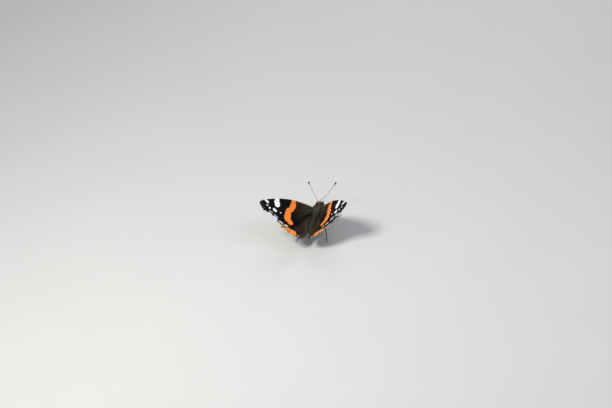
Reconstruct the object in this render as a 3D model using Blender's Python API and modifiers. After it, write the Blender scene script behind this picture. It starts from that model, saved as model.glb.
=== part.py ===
"""Red admiral butterfly at life size, standing on its four walking legs with both pairs of wings half raised.

The body frame has X to the butterfly's right, Y towards its head and Z up its back, with its origin midway
between the forewing hinges. STANCE tilts that frame nose up, moves it forward and lifts it, so that the feet
stand on Z = 0 and the whole model's box is centred over the origin.
Lengths are in millimetres until they are placed, and metres in Blender.
"""

import math

import bmesh
import bpy
from mathutils import Matrix, Vector
from mathutils.geometry import delaunay_2d_cdt, intersect_point_line

MM = 0.001
GAP = 0.3

# Stance of the body over the floor.
HINGE_HEIGHT = 9.2
HINGE_FORWARD = 4.38
NOSE_UP = math.radians(8.0)
STANCE = Matrix.Translation((0, HINGE_FORWARD, HINGE_HEIGHT)) @ Matrix.Rotation(NOSE_UP, 4, "X")

# Wing membranes, with the veins as ridges on both faces.
MEMBRANE = 0.5
VEIN_HEIGHT = 0.1
VEIN_HALF_WIDTH = 0.42
OUTLINE_STEP = 1.5
VEIN_STEP = 2.2
CELL_STEP = 2.9

# Forewing: the hinge, the pose of its plane, and the droop of its tip and lift of its hind edge.
FOREWING_CHORD = 31.0
FOREWING_HINGE = Vector((2.1, 0.0, 0.0))
FOREWING_SWEEP = math.radians(-28.4)
FOREWING_RISE = math.radians(43.0)
FOREWING_TWIST = math.radians(1.5)
FOREWING_TIP_DROOP = 1.9
FOREWING_HIND_LIFT = 3.5

# Forewing outline in its plane: distance out from the hinge, then distance back towards the tail.
FOREWING_COSTA = [
    (-1.6, -1.0), (0.6, -1.9), (4.0, -2.9), (9.1, -3.9), (15.4, -4.2), (21.3, -3.8), (26.8, -2.8),
    (29.3, -1.9), (30.6, -0.5),
]
FOREWING_VEIN_ENDS = [
    (30.5, 0.6), (30.0, 2.1), (29.2, 4.1), (27.3, 4.7), (24.5, 6.5), (22.0, 9.3), (19.4, 11.6), (16.7, 12.9),
]
FOREWING_INNER_EDGE = [(14.6, 12.1), (11.0, 9.4), (6.0, 5.4), (2.4, 2.9), (0.4, 1.9), (-1.6, 1.3)]
FOREWING_SCALLOP = 0.16

FOREWING_VEINS = {
    "subcosta": [(-1.2, -0.6), (3.0, -1.9), (8.0, -2.9), (13.0, -3.7)],
    "radius_stem": [(-1.2, 0.0), (5.0, -1.5), (10.0, -2.1), (13.6, -1.7)],
    "radius_1": [(9.0, -2.0), (14.0, -3.1), (18.6, -3.9)],
    "radius_2": [(12.0, -1.95), (17.0, -2.8), (22.2, -3.5)],
    "radius_3": [(13.6, -1.7), (19.6, -2.0), (25.9, -2.8)],
    "radius_4": [(19.6, -2.0), (25.4, -1.3), (30.5, 0.5)],
    "radius_5": [(22.6, -1.65), (26.6, -0.2), (29.9, 2.1)],
    "media_1": [(13.8, -1.0), (20.0, -0.7), (25.7, 1.2), (29.2, 4.0)],
    "media_2": [(13.9, 0.5), (19.6, 1.3), (24.0, 2.8), (27.1, 4.6)],
    "media_3": [(13.2, 2.6), (17.4, 3.0), (21.2, 4.3), (24.3, 6.4)],
    "cubitus_1": [(11.6, 3.2), (15.6, 4.4), (18.6, 6.0), (21.8, 9.1)],
    "cubitus_2": [(8.0, 2.8), (13.0, 5.8), (19.2, 11.4)],
    "cubitus_stem": [(-1.2, 0.6), (4.0, 1.5), (8.0, 2.8), (11.6, 3.2), (13.2, 2.6)],
    "cell_end": [(13.6, -1.7), (13.95, -0.2), (13.2, 2.6)],
    "anal": [(-1.2, 1.0), (5.0, 3.7), (11.0, 8.3), (16.5, 12.7)],
}

# Hindwing, tucked under the forewing; its planform has X out and Y forward from its own hinge.
HINDWING_HINGE = Vector((1.95, -3.1, -1.65))
HINDWING_WIDTH_SCALE = 0.856
HINDWING_LENGTH_SCALE = 0.925
HINDWING_SWEEP = math.radians(-1.6)
HINDWING_RISE = math.radians(29.4)
HINDWING_TWIST = math.radians(-1.8)
HINDWING_EDGE_LIFT = 1.58
HINDWING_HIND_LIFT = 2.11
HINDWING_BEND_SPAN = 20.0

HINDWING_COSTA = [(-1.4, 1.0), (0.6, 1.6), (3.2, 2.5), (6.4, 2.5), (10.2, 1.3), (14.0, -0.6), (16.6, -2.1)]
HINDWING_VEIN_ENDS = [
    (18.6, -3.4), (21.0, -5.7), (22.1, -8.8), (21.5, -12.2), (19.0, -16.0), (15.4, -19.2), (11.1, -21.4),
    (6.6, -22.5), (3.7, -22.0),
]
HINDWING_INNER_EDGE = [
    (2.2, -20.9), (0.9, -18.8), (0.25, -16.4), (0.3, -13.4), (0.85, -9.6), (0.95, -6.2), (0.7, -3.6),
    (-1.4, -1.7),
]
HINDWING_SCALLOP = 0.3

HINDWING_VEINS = {
    "subcosta": [(-1.0, 0.6), (5.0, 1.6), (10.6, 0.1), (18.3, -3.3)],
    "radius_stem": [(-1.0, 0.1), (3.0, 0.4), (6.5, 0.1), (9.2, -1.0)],
    "radius_sector": [(6.5, 0.1), (12.6, -1.8), (20.7, -5.6)],
    "media_1": [(9.2, -1.0), (15.0, -4.4), (21.8, -8.7)],
    "media_2": [(10.0, -2.8), (15.0, -6.4), (21.1, -12.0)],
    "media_3": [(9.3, -5.2), (13.4, -9.6), (18.7, -15.7)],
    "cubitus_1": [(8.0, -5.8), (11.6, -11.6), (15.2, -18.8)],
    "cubitus_2": [(6.0, -4.6), (8.9, -12.2), (11.0, -21.0)],
    "cubitus_stem": [(-1.0, -0.5), (3.0, -2.0), (6.0, -4.6), (8.0, -5.8), (9.3, -5.2)],
    "cell_end": [(9.2, -1.0), (10.0, -2.8), (9.3, -5.2)],
    "anal_1": [(-1.0, -1.0), (2.6, -5.0), (5.0, -13.0), (6.6, -22.1)],
    "anal_2": [(0.4, -2.6), (2.1, -6.4), (2.5, -13.0), (3.8, -21.4)],
}

# Body sections along Y: position, height of the centre, half width, half height.
THORAX = [
    (3.9, -1.35, 1.0, 1.0), (3.4, -1.3, 1.65, 1.7), (2.3, -1.2, 2.3, 2.4), (0.7, -1.1, 2.7, 2.8),
    (-1.2, -1.15, 2.7, 2.75), (-2.8, -1.25, 2.35, 2.4), (-3.9, -1.35, 1.75, 1.85), (-4.3, -1.4, 1.35, 1.45),
]
HEAD = [
    (4.2, -1.35, 0.95, 0.95), (4.5, -1.35, 1.3, 1.25), (5.1, -1.35, 1.55, 1.45), (5.8, -1.35, 1.5, 1.4),
    (6.4, -1.4, 1.2, 1.15), (6.8, -1.45, 0.7, 0.7), (6.95, -1.45, 0.25, 0.25),
]
ABDOMEN_FRONT = -4.6
ABDOMEN_LENGTH = 12.2
ABDOMEN_RADIUS = 2.05
ABDOMEN_CENTRE = -1.4
ABDOMEN_DROOP = 0.6
ABDOMEN_RINGS = 7
ABDOMEN_GROOVE = 0.13
BODY_SIDES = 24
SECTION_POWER = 2.2

EYE_CENTRE = Vector((1.3, 5.6, -1.1))
EYE_RADII = Vector((0.85, 1.0, 1.05))

# Feelers and mouth parts: a path, and the radius at each of its points.
ANTENNA_SOCKET = Vector((0.4, 5.2, -0.7))
ANTENNA_ROOT = Vector((0.5, 5.75, 0.3))
ANTENNA_REACH = Vector((7.3, 10.45, 4.4))
ANTENNA_RADIUS = 0.26
CLUB_RADIUS = 0.5
CLUB_SHARE = 0.17
ANTENNA_BOW = 0.5
PALP_PATH = [(0.85, 5.1, -2.3), (0.95, 6.0, -2.95), (0.98, 7.2, -3.0), (0.95, 8.6, -2.0)]
PALP_RADII = [0.42, 0.44, 0.4, 0.2]
COIL_CENTRE = Vector((0.0, 6.75, -3.75))
COIL_INNER = 0.5
COIL_PITCH = 0.82
COIL_TURNS = 1.6
COIL_POINTS = 26
PROBOSCIS_RADIUS = 0.26

# Legs: the coxa in the body frame, then knee, ankle, ball of the foot and toe in the floor's frame.
LEG_RADII = [0.62, 0.6, 0.42, 0.34, 0.3, 0.3]
FOOT_CENTRE = 0.2
LEG_STEP = 0.9
MIDLEG_COXA = Vector((1.0, 0.9, -2.9))
MIDLEG_POINTS = [
    (2.6, 6.3, 5.6), (5.6, 7.6, 7.2), (7.8, 10.0, 2.4), (8.3, 10.9, FOOT_CENTRE), (9.3, 13.8, FOOT_CENTRE),
]
HINDLEG_COXA = Vector((1.0, -2.4, -2.9))
HINDLEG_POINTS = [
    (2.5, 0.6, 4.9), (5.2, -2.4, 6.3), (7.2, -6.8, 2.2), (7.5, -7.8, FOOT_CENTRE), (8.2, -11.0, FOOT_CENTRE),
]
FORELEG_PATH = [(0.95, 2.4, -2.8), (1.35, 3.6, -4.3), (1.5, 5.0, -4.9), (1.45, 6.0, -4.1), (1.4, 7.6, -3.3)]
FORELEG_RADII = [0.5, 0.5, 0.42, 0.4, 0.28]

COLOURS = {
    "dorsal_brown": ((0.055, 0.035, 0.022), 0.75),
    "wing_black": ((0.012, 0.010, 0.010), 0.6),
    "hindwing_brown": ((0.07, 0.04, 0.022), 0.65),
    "eye_brown": ((0.05, 0.022, 0.012), 0.25),
    "leg_brown": ((0.13, 0.085, 0.05), 0.6),
    "antenna_black": ((0.06, 0.06, 0.055), 0.5),
}


def clear_scene():
    for item in list(bpy.data.objects):
        bpy.data.objects.remove(item)


def make_collections():
    parts = bpy.data.collections.new("red_admiral")
    cutters = bpy.data.collections.new("cutters")
    cutters.hide_render = True
    for collection in (parts, cutters):
        bpy.context.scene.collection.children.link(collection)
    return parts, cutters


def make_material(name):
    colour, roughness = COLOURS[name]
    material = bpy.data.materials.new(name)
    material.use_nodes = True
    shader = material.node_tree.nodes["Principled BSDF"]
    shader.inputs["Base Color"].default_value = (*colour, 1.0)
    shader.inputs["Roughness"].default_value = roughness
    shader.inputs["Metallic"].default_value = 0.0
    return material


def place(points):
    """Body frame millimetres to world metres."""
    return [(STANCE @ Vector(p)) * MM for p in points]


def add_mesh_object(name, points, faces, collection, material=None):
    mesh = bpy.data.meshes.new(name)
    mesh.from_pydata([tuple(p) for p in points], [], faces)
    mesh.update()
    item = bpy.data.objects.new(name, mesh)
    collection.objects.link(item)
    if material:
        mesh.materials.append(material)
    return item


def smooth_path(points, step, closed=False):
    """Catmull-Rom curve through the points, with a point about every step."""
    points = [Vector(p) for p in points]
    count = len(points)
    path = []
    for i in range(count if closed else count - 1):
        if closed:
            before, start, end, after = (points[(i + k) % count] for k in (-1, 0, 1, 2))
        else:
            start, end = points[i], points[i + 1]
            before = points[i - 1] if i else start * 2 - end
            after = points[i + 2] if i + 2 < count else end * 2 - start
        parts = max(1, round((end - start).length / step))
        for k in range(parts):
            t = k / parts
            path.append(
                0.5
                * (
                    2 * start
                    + (end - before) * t
                    + (2 * before - 5 * start + 4 * end - after) * t**2
                    + (3 * start - before - 3 * end + after) * t**3
                )
            )
    if not closed:
        path.append(points[-1])
    return path


def scalloped_margin(vein_ends, depth, inside):
    """Outer margin: it peaks at each vein end and dips inwards between them."""
    ends = [Vector(p) for p in vein_ends]
    margin = [ends[0]]
    for start, end in zip(ends, ends[1:]):
        middle = (start + end) / 2
        side = Vector((start.y - end.y, end.x - start.x)).normalized()
        if side.dot(Vector(inside) - middle) < 0:
            side = -side
        for share in (0.3, 0.7):
            margin.append(start.lerp(end, share) + side * depth * (end - start).length / 3.5)
        margin.append(end)
    return margin


def distance_to_lines(point, lines):
    nearest = math.inf
    for line in lines:
        for start, end in zip(line, line[1:]):
            foot, share = intersect_point_line(point, start, end)
            foot = start if share < 0 else end if share > 1 else foot.to_2d()
            nearest = min(nearest, (point - foot).length)
    return nearest


def inside_outline(point, outline):
    inside = False
    for a, b in zip(outline, outline[1:] + outline[:1]):
        if (a.y > point.y) != (b.y > point.y):
            if point.x < (b.x - a.x) * (point.y - a.y) / (b.y - a.y) + a.x:
                inside = not inside
    return inside


def offset_line(line, distance):
    shifted = []
    for i, point in enumerate(line):
        along = line[min(i + 1, len(line) - 1)] - line[max(i - 1, 0)]
        shifted.append(point + Vector((-along.y, along.x)).normalized() * distance)
    return shifted


def veined_sheet(outline, veins):
    """Flat triangles of a wing whose edges run along each vein's crest and both its feet."""
    lines = [smooth_path(vein, VEIN_STEP) for vein in veins.values()]
    points = list(outline)
    rim = list(range(len(outline)))
    edges = []
    for line in lines:
        for shift in (0.0, VEIN_HALF_WIDTH, -VEIN_HALF_WIDTH):
            row = [p for p in offset_line(line, shift) if inside_outline(p, outline)]
            row = [p for p in row if distance_to_lines(p, [outline + outline[:1]]) > VEIN_HALF_WIDTH / 2]
            if shift:
                row = [p for p in row if distance_to_lines(p, lines) > VEIN_HALF_WIDTH * 0.9]
            first = len(points)
            points += row
            edges += [
                (first + i, first + i + 1)
                for i in range(len(row) - 1)
                if (row[i + 1] - row[i]).length < VEIN_STEP * 1.3
            ]
    low = Vector((min(p.x for p in outline), min(p.y for p in outline)))
    high = Vector((max(p.x for p in outline), max(p.y for p in outline)))
    rows = int((high.y - low.y) / (CELL_STEP * 0.87)) + 1
    for j in range(rows):
        for i in range(int((high.x - low.x) / CELL_STEP) + 1):
            spot = low + Vector(((i + 0.5 * (j % 2)) * CELL_STEP, j * CELL_STEP * 0.87))
            if inside_outline(spot, outline) and distance_to_lines(spot, lines + [outline + outline[:1]]) > 1.1:
                points.append(spot)
    found = delaunay_2d_cdt(points, edges, [rim], 1, 0.02)
    flat, faces = found[0], found[2]
    ridge = [max(0.0, 1 - distance_to_lines(p, lines) / VEIN_HALF_WIDTH) for p in flat]
    return flat, faces, ridge


def wing_outline(costa, vein_ends, inner_edge, scallop, inside):
    front = smooth_path(costa, OUTLINE_STEP)
    margin = scalloped_margin(vein_ends, scallop, inside)
    back = smooth_path(inner_edge, OUTLINE_STEP)
    return [p for p in front + margin + back]


def wing_pose(rise, sweep, twist):
    return (
        Matrix.Rotation(-rise, 3, "Y") @ Matrix.Rotation(sweep, 3, "Z") @ Matrix.Rotation(twist, 3, "X")
    )


def forewing_surface(point):
    """A point of the forewing's planform, to the body frame."""
    out, back = point
    bend = -FOREWING_TIP_DROOP * (out / FOREWING_CHORD) ** 2 + FOREWING_HIND_LIFT * (back / FOREWING_CHORD) ** 2
    pose = wing_pose(FOREWING_RISE, FOREWING_SWEEP, FOREWING_TWIST)
    return FOREWING_HINGE + pose @ Vector((out, -back, bend))


def hindwing_surface(point):
    """A point of the hindwing's planform, to the body frame."""
    out, forward = point[0] * HINDWING_WIDTH_SCALE, point[1] * HINDWING_LENGTH_SCALE
    bend = (HINDWING_EDGE_LIFT * out**2 + HINDWING_HIND_LIFT * forward**2) / HINDWING_BEND_SPAN**2
    pose = wing_pose(HINDWING_RISE, HINDWING_SWEEP, HINDWING_TWIST)
    return HINDWING_HINGE + pose @ Vector((out, forward, bend))


def make_wing(name, side, flat, faces, ridge, surface, collection, material):
    points = [surface(p) for p in flat]
    points = [Vector((p.x * side, p.y, p.z)) for p in points]
    wing = add_mesh_object(name, place(points), faces, collection, material)
    mesh = bmesh.new()
    mesh.from_mesh(wing.data)
    bmesh.ops.recalc_face_normals(mesh, faces=mesh.faces)
    if sum(face.normal.z for face in mesh.faces) < 0:
        bmesh.ops.reverse_faces(mesh, faces=mesh.faces)
    mesh.to_mesh(wing.data)
    mesh.free()
    group = wing.vertex_groups.new(name="vein_ridge")
    for index, weight in enumerate(ridge):
        group.add([index], weight, "REPLACE")
    solid = wing.modifiers.new("membrane", "SOLIDIFY")
    solid.thickness = (MEMBRANE + 2 * VEIN_HEIGHT) * MM
    solid.offset = 0.0
    solid.vertex_group = group.name
    solid.thickness_vertex_group = MEMBRANE / (MEMBRANE + 2 * VEIN_HEIGHT)
    return wing


def section_ring(y, centre, half_width, half_height):
    """One closed section of the body, slightly squarer than an ellipse."""
    ring = []
    for i in range(BODY_SIDES):
        angle = math.tau * i / BODY_SIDES
        across, up = math.sin(angle), math.cos(angle)
        reach = (abs(across) ** SECTION_POWER + abs(up) ** SECTION_POWER) ** (-1 / SECTION_POWER)
        ring.append((half_width * reach * across, y, centre + half_height * reach * up))
    return ring


def make_loft(name, sections, collection, material=None, grow=0.0):
    """Closed body through its sections, flat at both ends; grow makes it larger all round."""
    sections = [(y, centre, w + grow, h + grow) for y, centre, w, h in sections]
    if grow:
        first, last = sections[0], sections[-1]
        outwards = math.copysign(grow, first[0] - last[0])
        sections[0] = (first[0] + outwards, *first[1:])
        sections[-1] = (last[0] - outwards, *last[1:])
    points = [p for section in sections for p in section_ring(*section)]
    faces = []
    for k in range(len(sections) - 1):
        for i in range(BODY_SIDES):
            j = (i + 1) % BODY_SIDES
            faces.append(
                (k * BODY_SIDES + i, k * BODY_SIDES + j, (k + 1) * BODY_SIDES + j, (k + 1) * BODY_SIDES + i)
            )
    last_ring = (len(sections) - 1) * BODY_SIDES
    faces.append(tuple(reversed(range(BODY_SIDES))))
    faces.append(tuple(range(last_ring, last_ring + BODY_SIDES)))
    body = add_mesh_object(name, place(points), faces, collection, material)
    fix_normals(body)
    return body


def fix_normals(item):
    mesh = bmesh.new()
    mesh.from_mesh(item.data)
    bmesh.ops.recalc_face_normals(mesh, faces=mesh.faces)
    mesh.to_mesh(item.data)
    mesh.free()


def abdomen_sections():
    """A spindle that swells over its first half, with a shallow groove between its rings."""
    sections = []
    steps = ABDOMEN_RINGS * 3
    for k in range(steps + 1):
        share = k / steps
        swell = math.sin(math.pi * (0.22 + 0.75 * share)) ** 0.75
        groove = ABDOMEN_GROOVE if k % 3 == 0 and 0 < k < steps else 0.0
        radius = max(0.3, ABDOMEN_RADIUS * swell - groove)
        y = ABDOMEN_FRONT - ABDOMEN_LENGTH * share
        sections.append((y, ABDOMEN_CENTRE - ABDOMEN_DROOP * share**2, radius, radius * 1.03))
    return sections


def make_tube(name, path, radii, collection, material, resolution=4, placed=False):
    """Tube along a path with a radius at each point, as a closed mesh."""
    curve = bpy.data.curves.new(name, "CURVE")
    curve.dimensions = "3D"
    curve.bevel_depth = MM
    curve.bevel_resolution = resolution
    curve.use_fill_caps = True
    points = [Vector(p) * MM for p in path] if placed else place(path)
    spline = curve.splines.new("POLY")
    spline.points.add(len(points) - 1)
    for spot, point, radius in zip(spline.points, points, radii):
        spot.co = (*point, 1.0)
        spot.radius = radius
    guide = bpy.data.objects.new(name + "_curve", curve)
    collection.objects.link(guide)
    graph = bpy.context.evaluated_depsgraph_get()
    mesh = bpy.data.meshes.new_from_object(guide.evaluated_get(graph))
    tube = bpy.data.objects.new(name, mesh)
    tube.matrix_world = guide.matrix_world
    collection.objects.link(tube)
    bpy.data.objects.remove(guide)
    weld = bmesh.new()
    weld.from_mesh(mesh)
    bmesh.ops.remove_doubles(weld, verts=weld.verts, dist=0.00001)
    bmesh.ops.recalc_face_normals(weld, faces=weld.faces)
    weld.to_mesh(mesh)
    weld.free()
    mesh.materials.clear()
    mesh.materials.append(material)
    return tube


def radii_along(points, radii, path):
    """Radius at each point of a smoothed path, from the radii at the path's own points."""
    lengths = [0.0]
    for a, b in zip(points, points[1:]):
        lengths.append(lengths[-1] + (Vector(b) - Vector(a)).length)
    travelled, found = 0.0, []
    total = sum((b - a).length for a, b in zip(path, path[1:]))
    for i, point in enumerate(path):
        if i:
            travelled += (point - path[i - 1]).length
        at = travelled / total * lengths[-1]
        k = max(j for j in range(len(lengths) - 1) if lengths[j] <= at + 1e-9)
        share = min(1.0, (at - lengths[k]) / (lengths[k + 1] - lengths[k]))
        found.append(radii[k] + (radii[k + 1] - radii[k]) * share)
    return found


def add_cut(item, cutter):
    cut = item.modifiers.new("cut_" + cutter.name, "BOOLEAN")
    cut.operation = "DIFFERENCE"
    cut.object = cutter
    cut.solver = "EXACT"


def mark_cutter(item):
    item.hide_render = True
    item.display_type = "WIRE"


def make_ellipsoid(name, centre, radii, collection, material=None, grow=0.0):
    bpy.ops.mesh.primitive_uv_sphere_add(segments=20, ring_count=12, radius=MM)
    item = bpy.context.object
    for owner in list(item.users_collection):
        owner.objects.unlink(item)
    collection.objects.link(item)
    item.name = name
    sizes = [r + grow for r in radii]
    item.data.transform(STANCE.to_3x3().to_4x4() @ Matrix.Diagonal((*sizes, 1.0)))
    item.location = (STANCE @ centre) * MM
    if material:
        item.data.materials.append(material)
    item.data.shade_smooth()
    return item


def mirrored(point, side):
    return Vector((point[0] * side, point[1], point[2]))


def antenna_path(side):
    """Nearly straight feeler that bows a little outwards and ends in a club."""
    path, radii = [mirrored(ANTENNA_SOCKET, side)], [ANTENNA_RADIUS]
    shares = [0.0, 0.2, 0.4, 0.6, 0.76, 1 - CLUB_SHARE, 0.88, 0.93, 0.98, 1.0]
    widths = [1.1, 1.0, 1.0, 1.0, 1.0, 1.1, 1.6, CLUB_RADIUS / ANTENNA_RADIUS, 1.6, 0.6]
    for share, width in zip(shares, widths):
        bow = Vector((-ANTENNA_REACH.z, 0, ANTENNA_REACH.x)).normalized() * ANTENNA_BOW
        point = ANTENNA_ROOT + ANTENNA_REACH * share - bow * math.sin(math.pi * share)
        path.append(mirrored(point, side))
        radii.append(ANTENNA_RADIUS * width)
    return path, radii


def proboscis_path():
    """Flat watch-spring coil below the face, led up to the mouth."""
    path = []
    for i in range(COIL_POINTS):
        share = i / (COIL_POINTS - 1)
        angle = math.tau * COIL_TURNS * share
        radius = COIL_INNER + COIL_PITCH * COIL_TURNS * share
        turn = angle - math.tau * COIL_TURNS + math.radians(100)
        path.append(COIL_CENTRE + Vector((0, radius * math.cos(turn), radius * math.sin(turn))))
    return path


def leg_points(coxa, floor_points, side):
    points = [STANCE @ mirrored(coxa, side)] + [mirrored(p, side) for p in floor_points]
    path = smooth_path(points, LEG_STEP)
    return path, radii_along(points, LEG_RADII, path)


def main():
    clear_scene()
    parts, cutters = make_collections()
    materials = {name: make_material(name) for name in COLOURS}
    brown = materials["dorsal_brown"]

    make_loft("thorax", THORAX, parts, brown)
    head = make_loft("head", HEAD, parts, brown)
    make_loft("abdomen", abdomen_sections(), parts, brown)
    round_thorax = make_loft("grown_thorax", THORAX, cutters, grow=GAP)
    round_head = make_loft("grown_head", HEAD, cutters, grow=GAP)
    round_abdomen = make_loft("grown_abdomen", abdomen_sections(), cutters, grow=GAP)
    bpy.ops.mesh.primitive_cube_add(size=60 * MM, location=(0, 0, -30 * MM))
    floor = bpy.context.object
    floor.name = "floor_block"
    for owner in list(floor.users_collection):
        owner.objects.unlink(floor)
    cutters.objects.link(floor)
    for item in (round_thorax, round_head, round_abdomen, floor):
        mark_cutter(item)

    forewing_rim = wing_outline(
        FOREWING_COSTA, FOREWING_VEIN_ENDS, FOREWING_INNER_EDGE, FOREWING_SCALLOP, (12.0, 2.0)
    )
    hindwing_rim = wing_outline(
        HINDWING_COSTA, HINDWING_VEIN_ENDS, HINDWING_INNER_EDGE, HINDWING_SCALLOP, (9.0, -8.0)
    )
    forewing = veined_sheet(forewing_rim, FOREWING_VEINS)
    hindwing = veined_sheet(hindwing_rim, HINDWING_VEINS)

    for side, word in ((1, "right"), (-1, "left")):
        fore = make_wing(
            "forewing_" + word, side, *forewing, forewing_surface, parts, materials["wing_black"]
        )
        add_cut(fore, round_thorax)
        hind = make_wing(
            "hindwing_" + word, side, *hindwing, hindwing_surface, parts, materials["hindwing_brown"]
        )
        add_cut(hind, round_thorax)
        add_cut(hind, round_abdomen)

        eye_centre = mirrored(EYE_CENTRE, side)
        make_ellipsoid("eye_" + word, eye_centre, EYE_RADII, parts, materials["eye_brown"])
        socket = make_ellipsoid("socket_" + word, eye_centre, EYE_RADII, cutters, grow=GAP)
        mark_cutter(socket)
        add_cut(head, socket)

        path, radii = antenna_path(side)
        antenna = make_tube("antenna_" + word, path, radii, parts, materials["antenna_black"], 3)
        add_cut(antenna, round_head)
        palp_points = [mirrored(p, side) for p in PALP_PATH]
        path = smooth_path(palp_points, 0.7)
        palp = make_tube("palp_" + word, path, radii_along(palp_points, PALP_RADII, path), parts, brown)
        add_cut(palp, round_head)

        for name, coxa, floor_points in (
            ("midleg_", MIDLEG_COXA, MIDLEG_POINTS),
            ("hindleg_", HINDLEG_COXA, HINDLEG_POINTS),
        ):
            path, radii = leg_points(coxa, floor_points, side)
            leg = make_tube(name + word, path, radii, parts, materials["leg_brown"], 3, placed=True)
            add_cut(leg, round_thorax)
            add_cut(leg, floor)
        fore_points = [mirrored(p, side) for p in FORELEG_PATH]
        path = smooth_path(fore_points, 1.0)
        foreleg = make_tube(
            "foreleg_" + word, path, radii_along(fore_points, FORELEG_RADII, path), parts, materials["leg_brown"], 2
        )
        add_cut(foreleg, round_thorax)

    path = proboscis_path()
    proboscis = make_tube(
        "proboscis", path, [PROBOSCIS_RADIUS] * len(path), parts, materials["antenna_black"], 2
    )
    add_cut(proboscis, round_head)


main()
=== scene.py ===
"""Finished look of a life-size red admiral butterfly: scaled wings, haired body, legs, feelers and eyes.

The body frame has X to the butterfly's right, Y towards its head and Z up its back, in millimetres, with its
origin midway between the forewing hinges. to_floor() stands it on the floor, and to_world() gives metres.
"""

import math
from functools import cache

import bpy
import numpy as np
from bpy.props import FloatProperty, FloatVectorProperty, PointerProperty
from mathutils import Matrix, Vector
from mathutils.geometry import delaunay_2d_cdt


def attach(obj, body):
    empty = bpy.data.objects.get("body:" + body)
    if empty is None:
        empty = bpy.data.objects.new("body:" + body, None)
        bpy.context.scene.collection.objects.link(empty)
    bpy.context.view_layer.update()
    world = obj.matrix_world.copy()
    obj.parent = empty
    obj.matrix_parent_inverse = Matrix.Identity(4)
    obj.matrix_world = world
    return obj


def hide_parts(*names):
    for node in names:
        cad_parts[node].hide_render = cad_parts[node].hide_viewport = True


bl_info = {
    "name": "Red Admiral Butterfly",
    "version": (1, 0, 0),
    "blender": (4, 5, 0),
    "location": "3D View > Sidebar > Butterfly",
    "description": "Builds the wings, body, coat and stage of a standing red admiral butterfly",
    "category": "Object",
}

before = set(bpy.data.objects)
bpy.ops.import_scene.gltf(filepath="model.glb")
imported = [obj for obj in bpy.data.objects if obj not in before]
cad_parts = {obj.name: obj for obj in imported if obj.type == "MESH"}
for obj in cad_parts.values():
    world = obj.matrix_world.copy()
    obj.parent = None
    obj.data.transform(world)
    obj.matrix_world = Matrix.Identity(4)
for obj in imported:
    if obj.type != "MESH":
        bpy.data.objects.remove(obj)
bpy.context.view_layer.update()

MM = 0.001
SIDES = ((1, "right"), (-1, "left"))

# Stance of the body over the floor.
HINGE_HEIGHT = 9.2
HINGE_FORWARD = 4.38
NOSE_UP = math.radians(8)
STANCE = Matrix.Translation((0, HINGE_FORWARD, HINGE_HEIGHT)) @ Matrix.Rotation(NOSE_UP, 4, "X")
TURN = np.array(STANCE.to_3x3())
LIFT = np.array(STANCE.translation)

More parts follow.
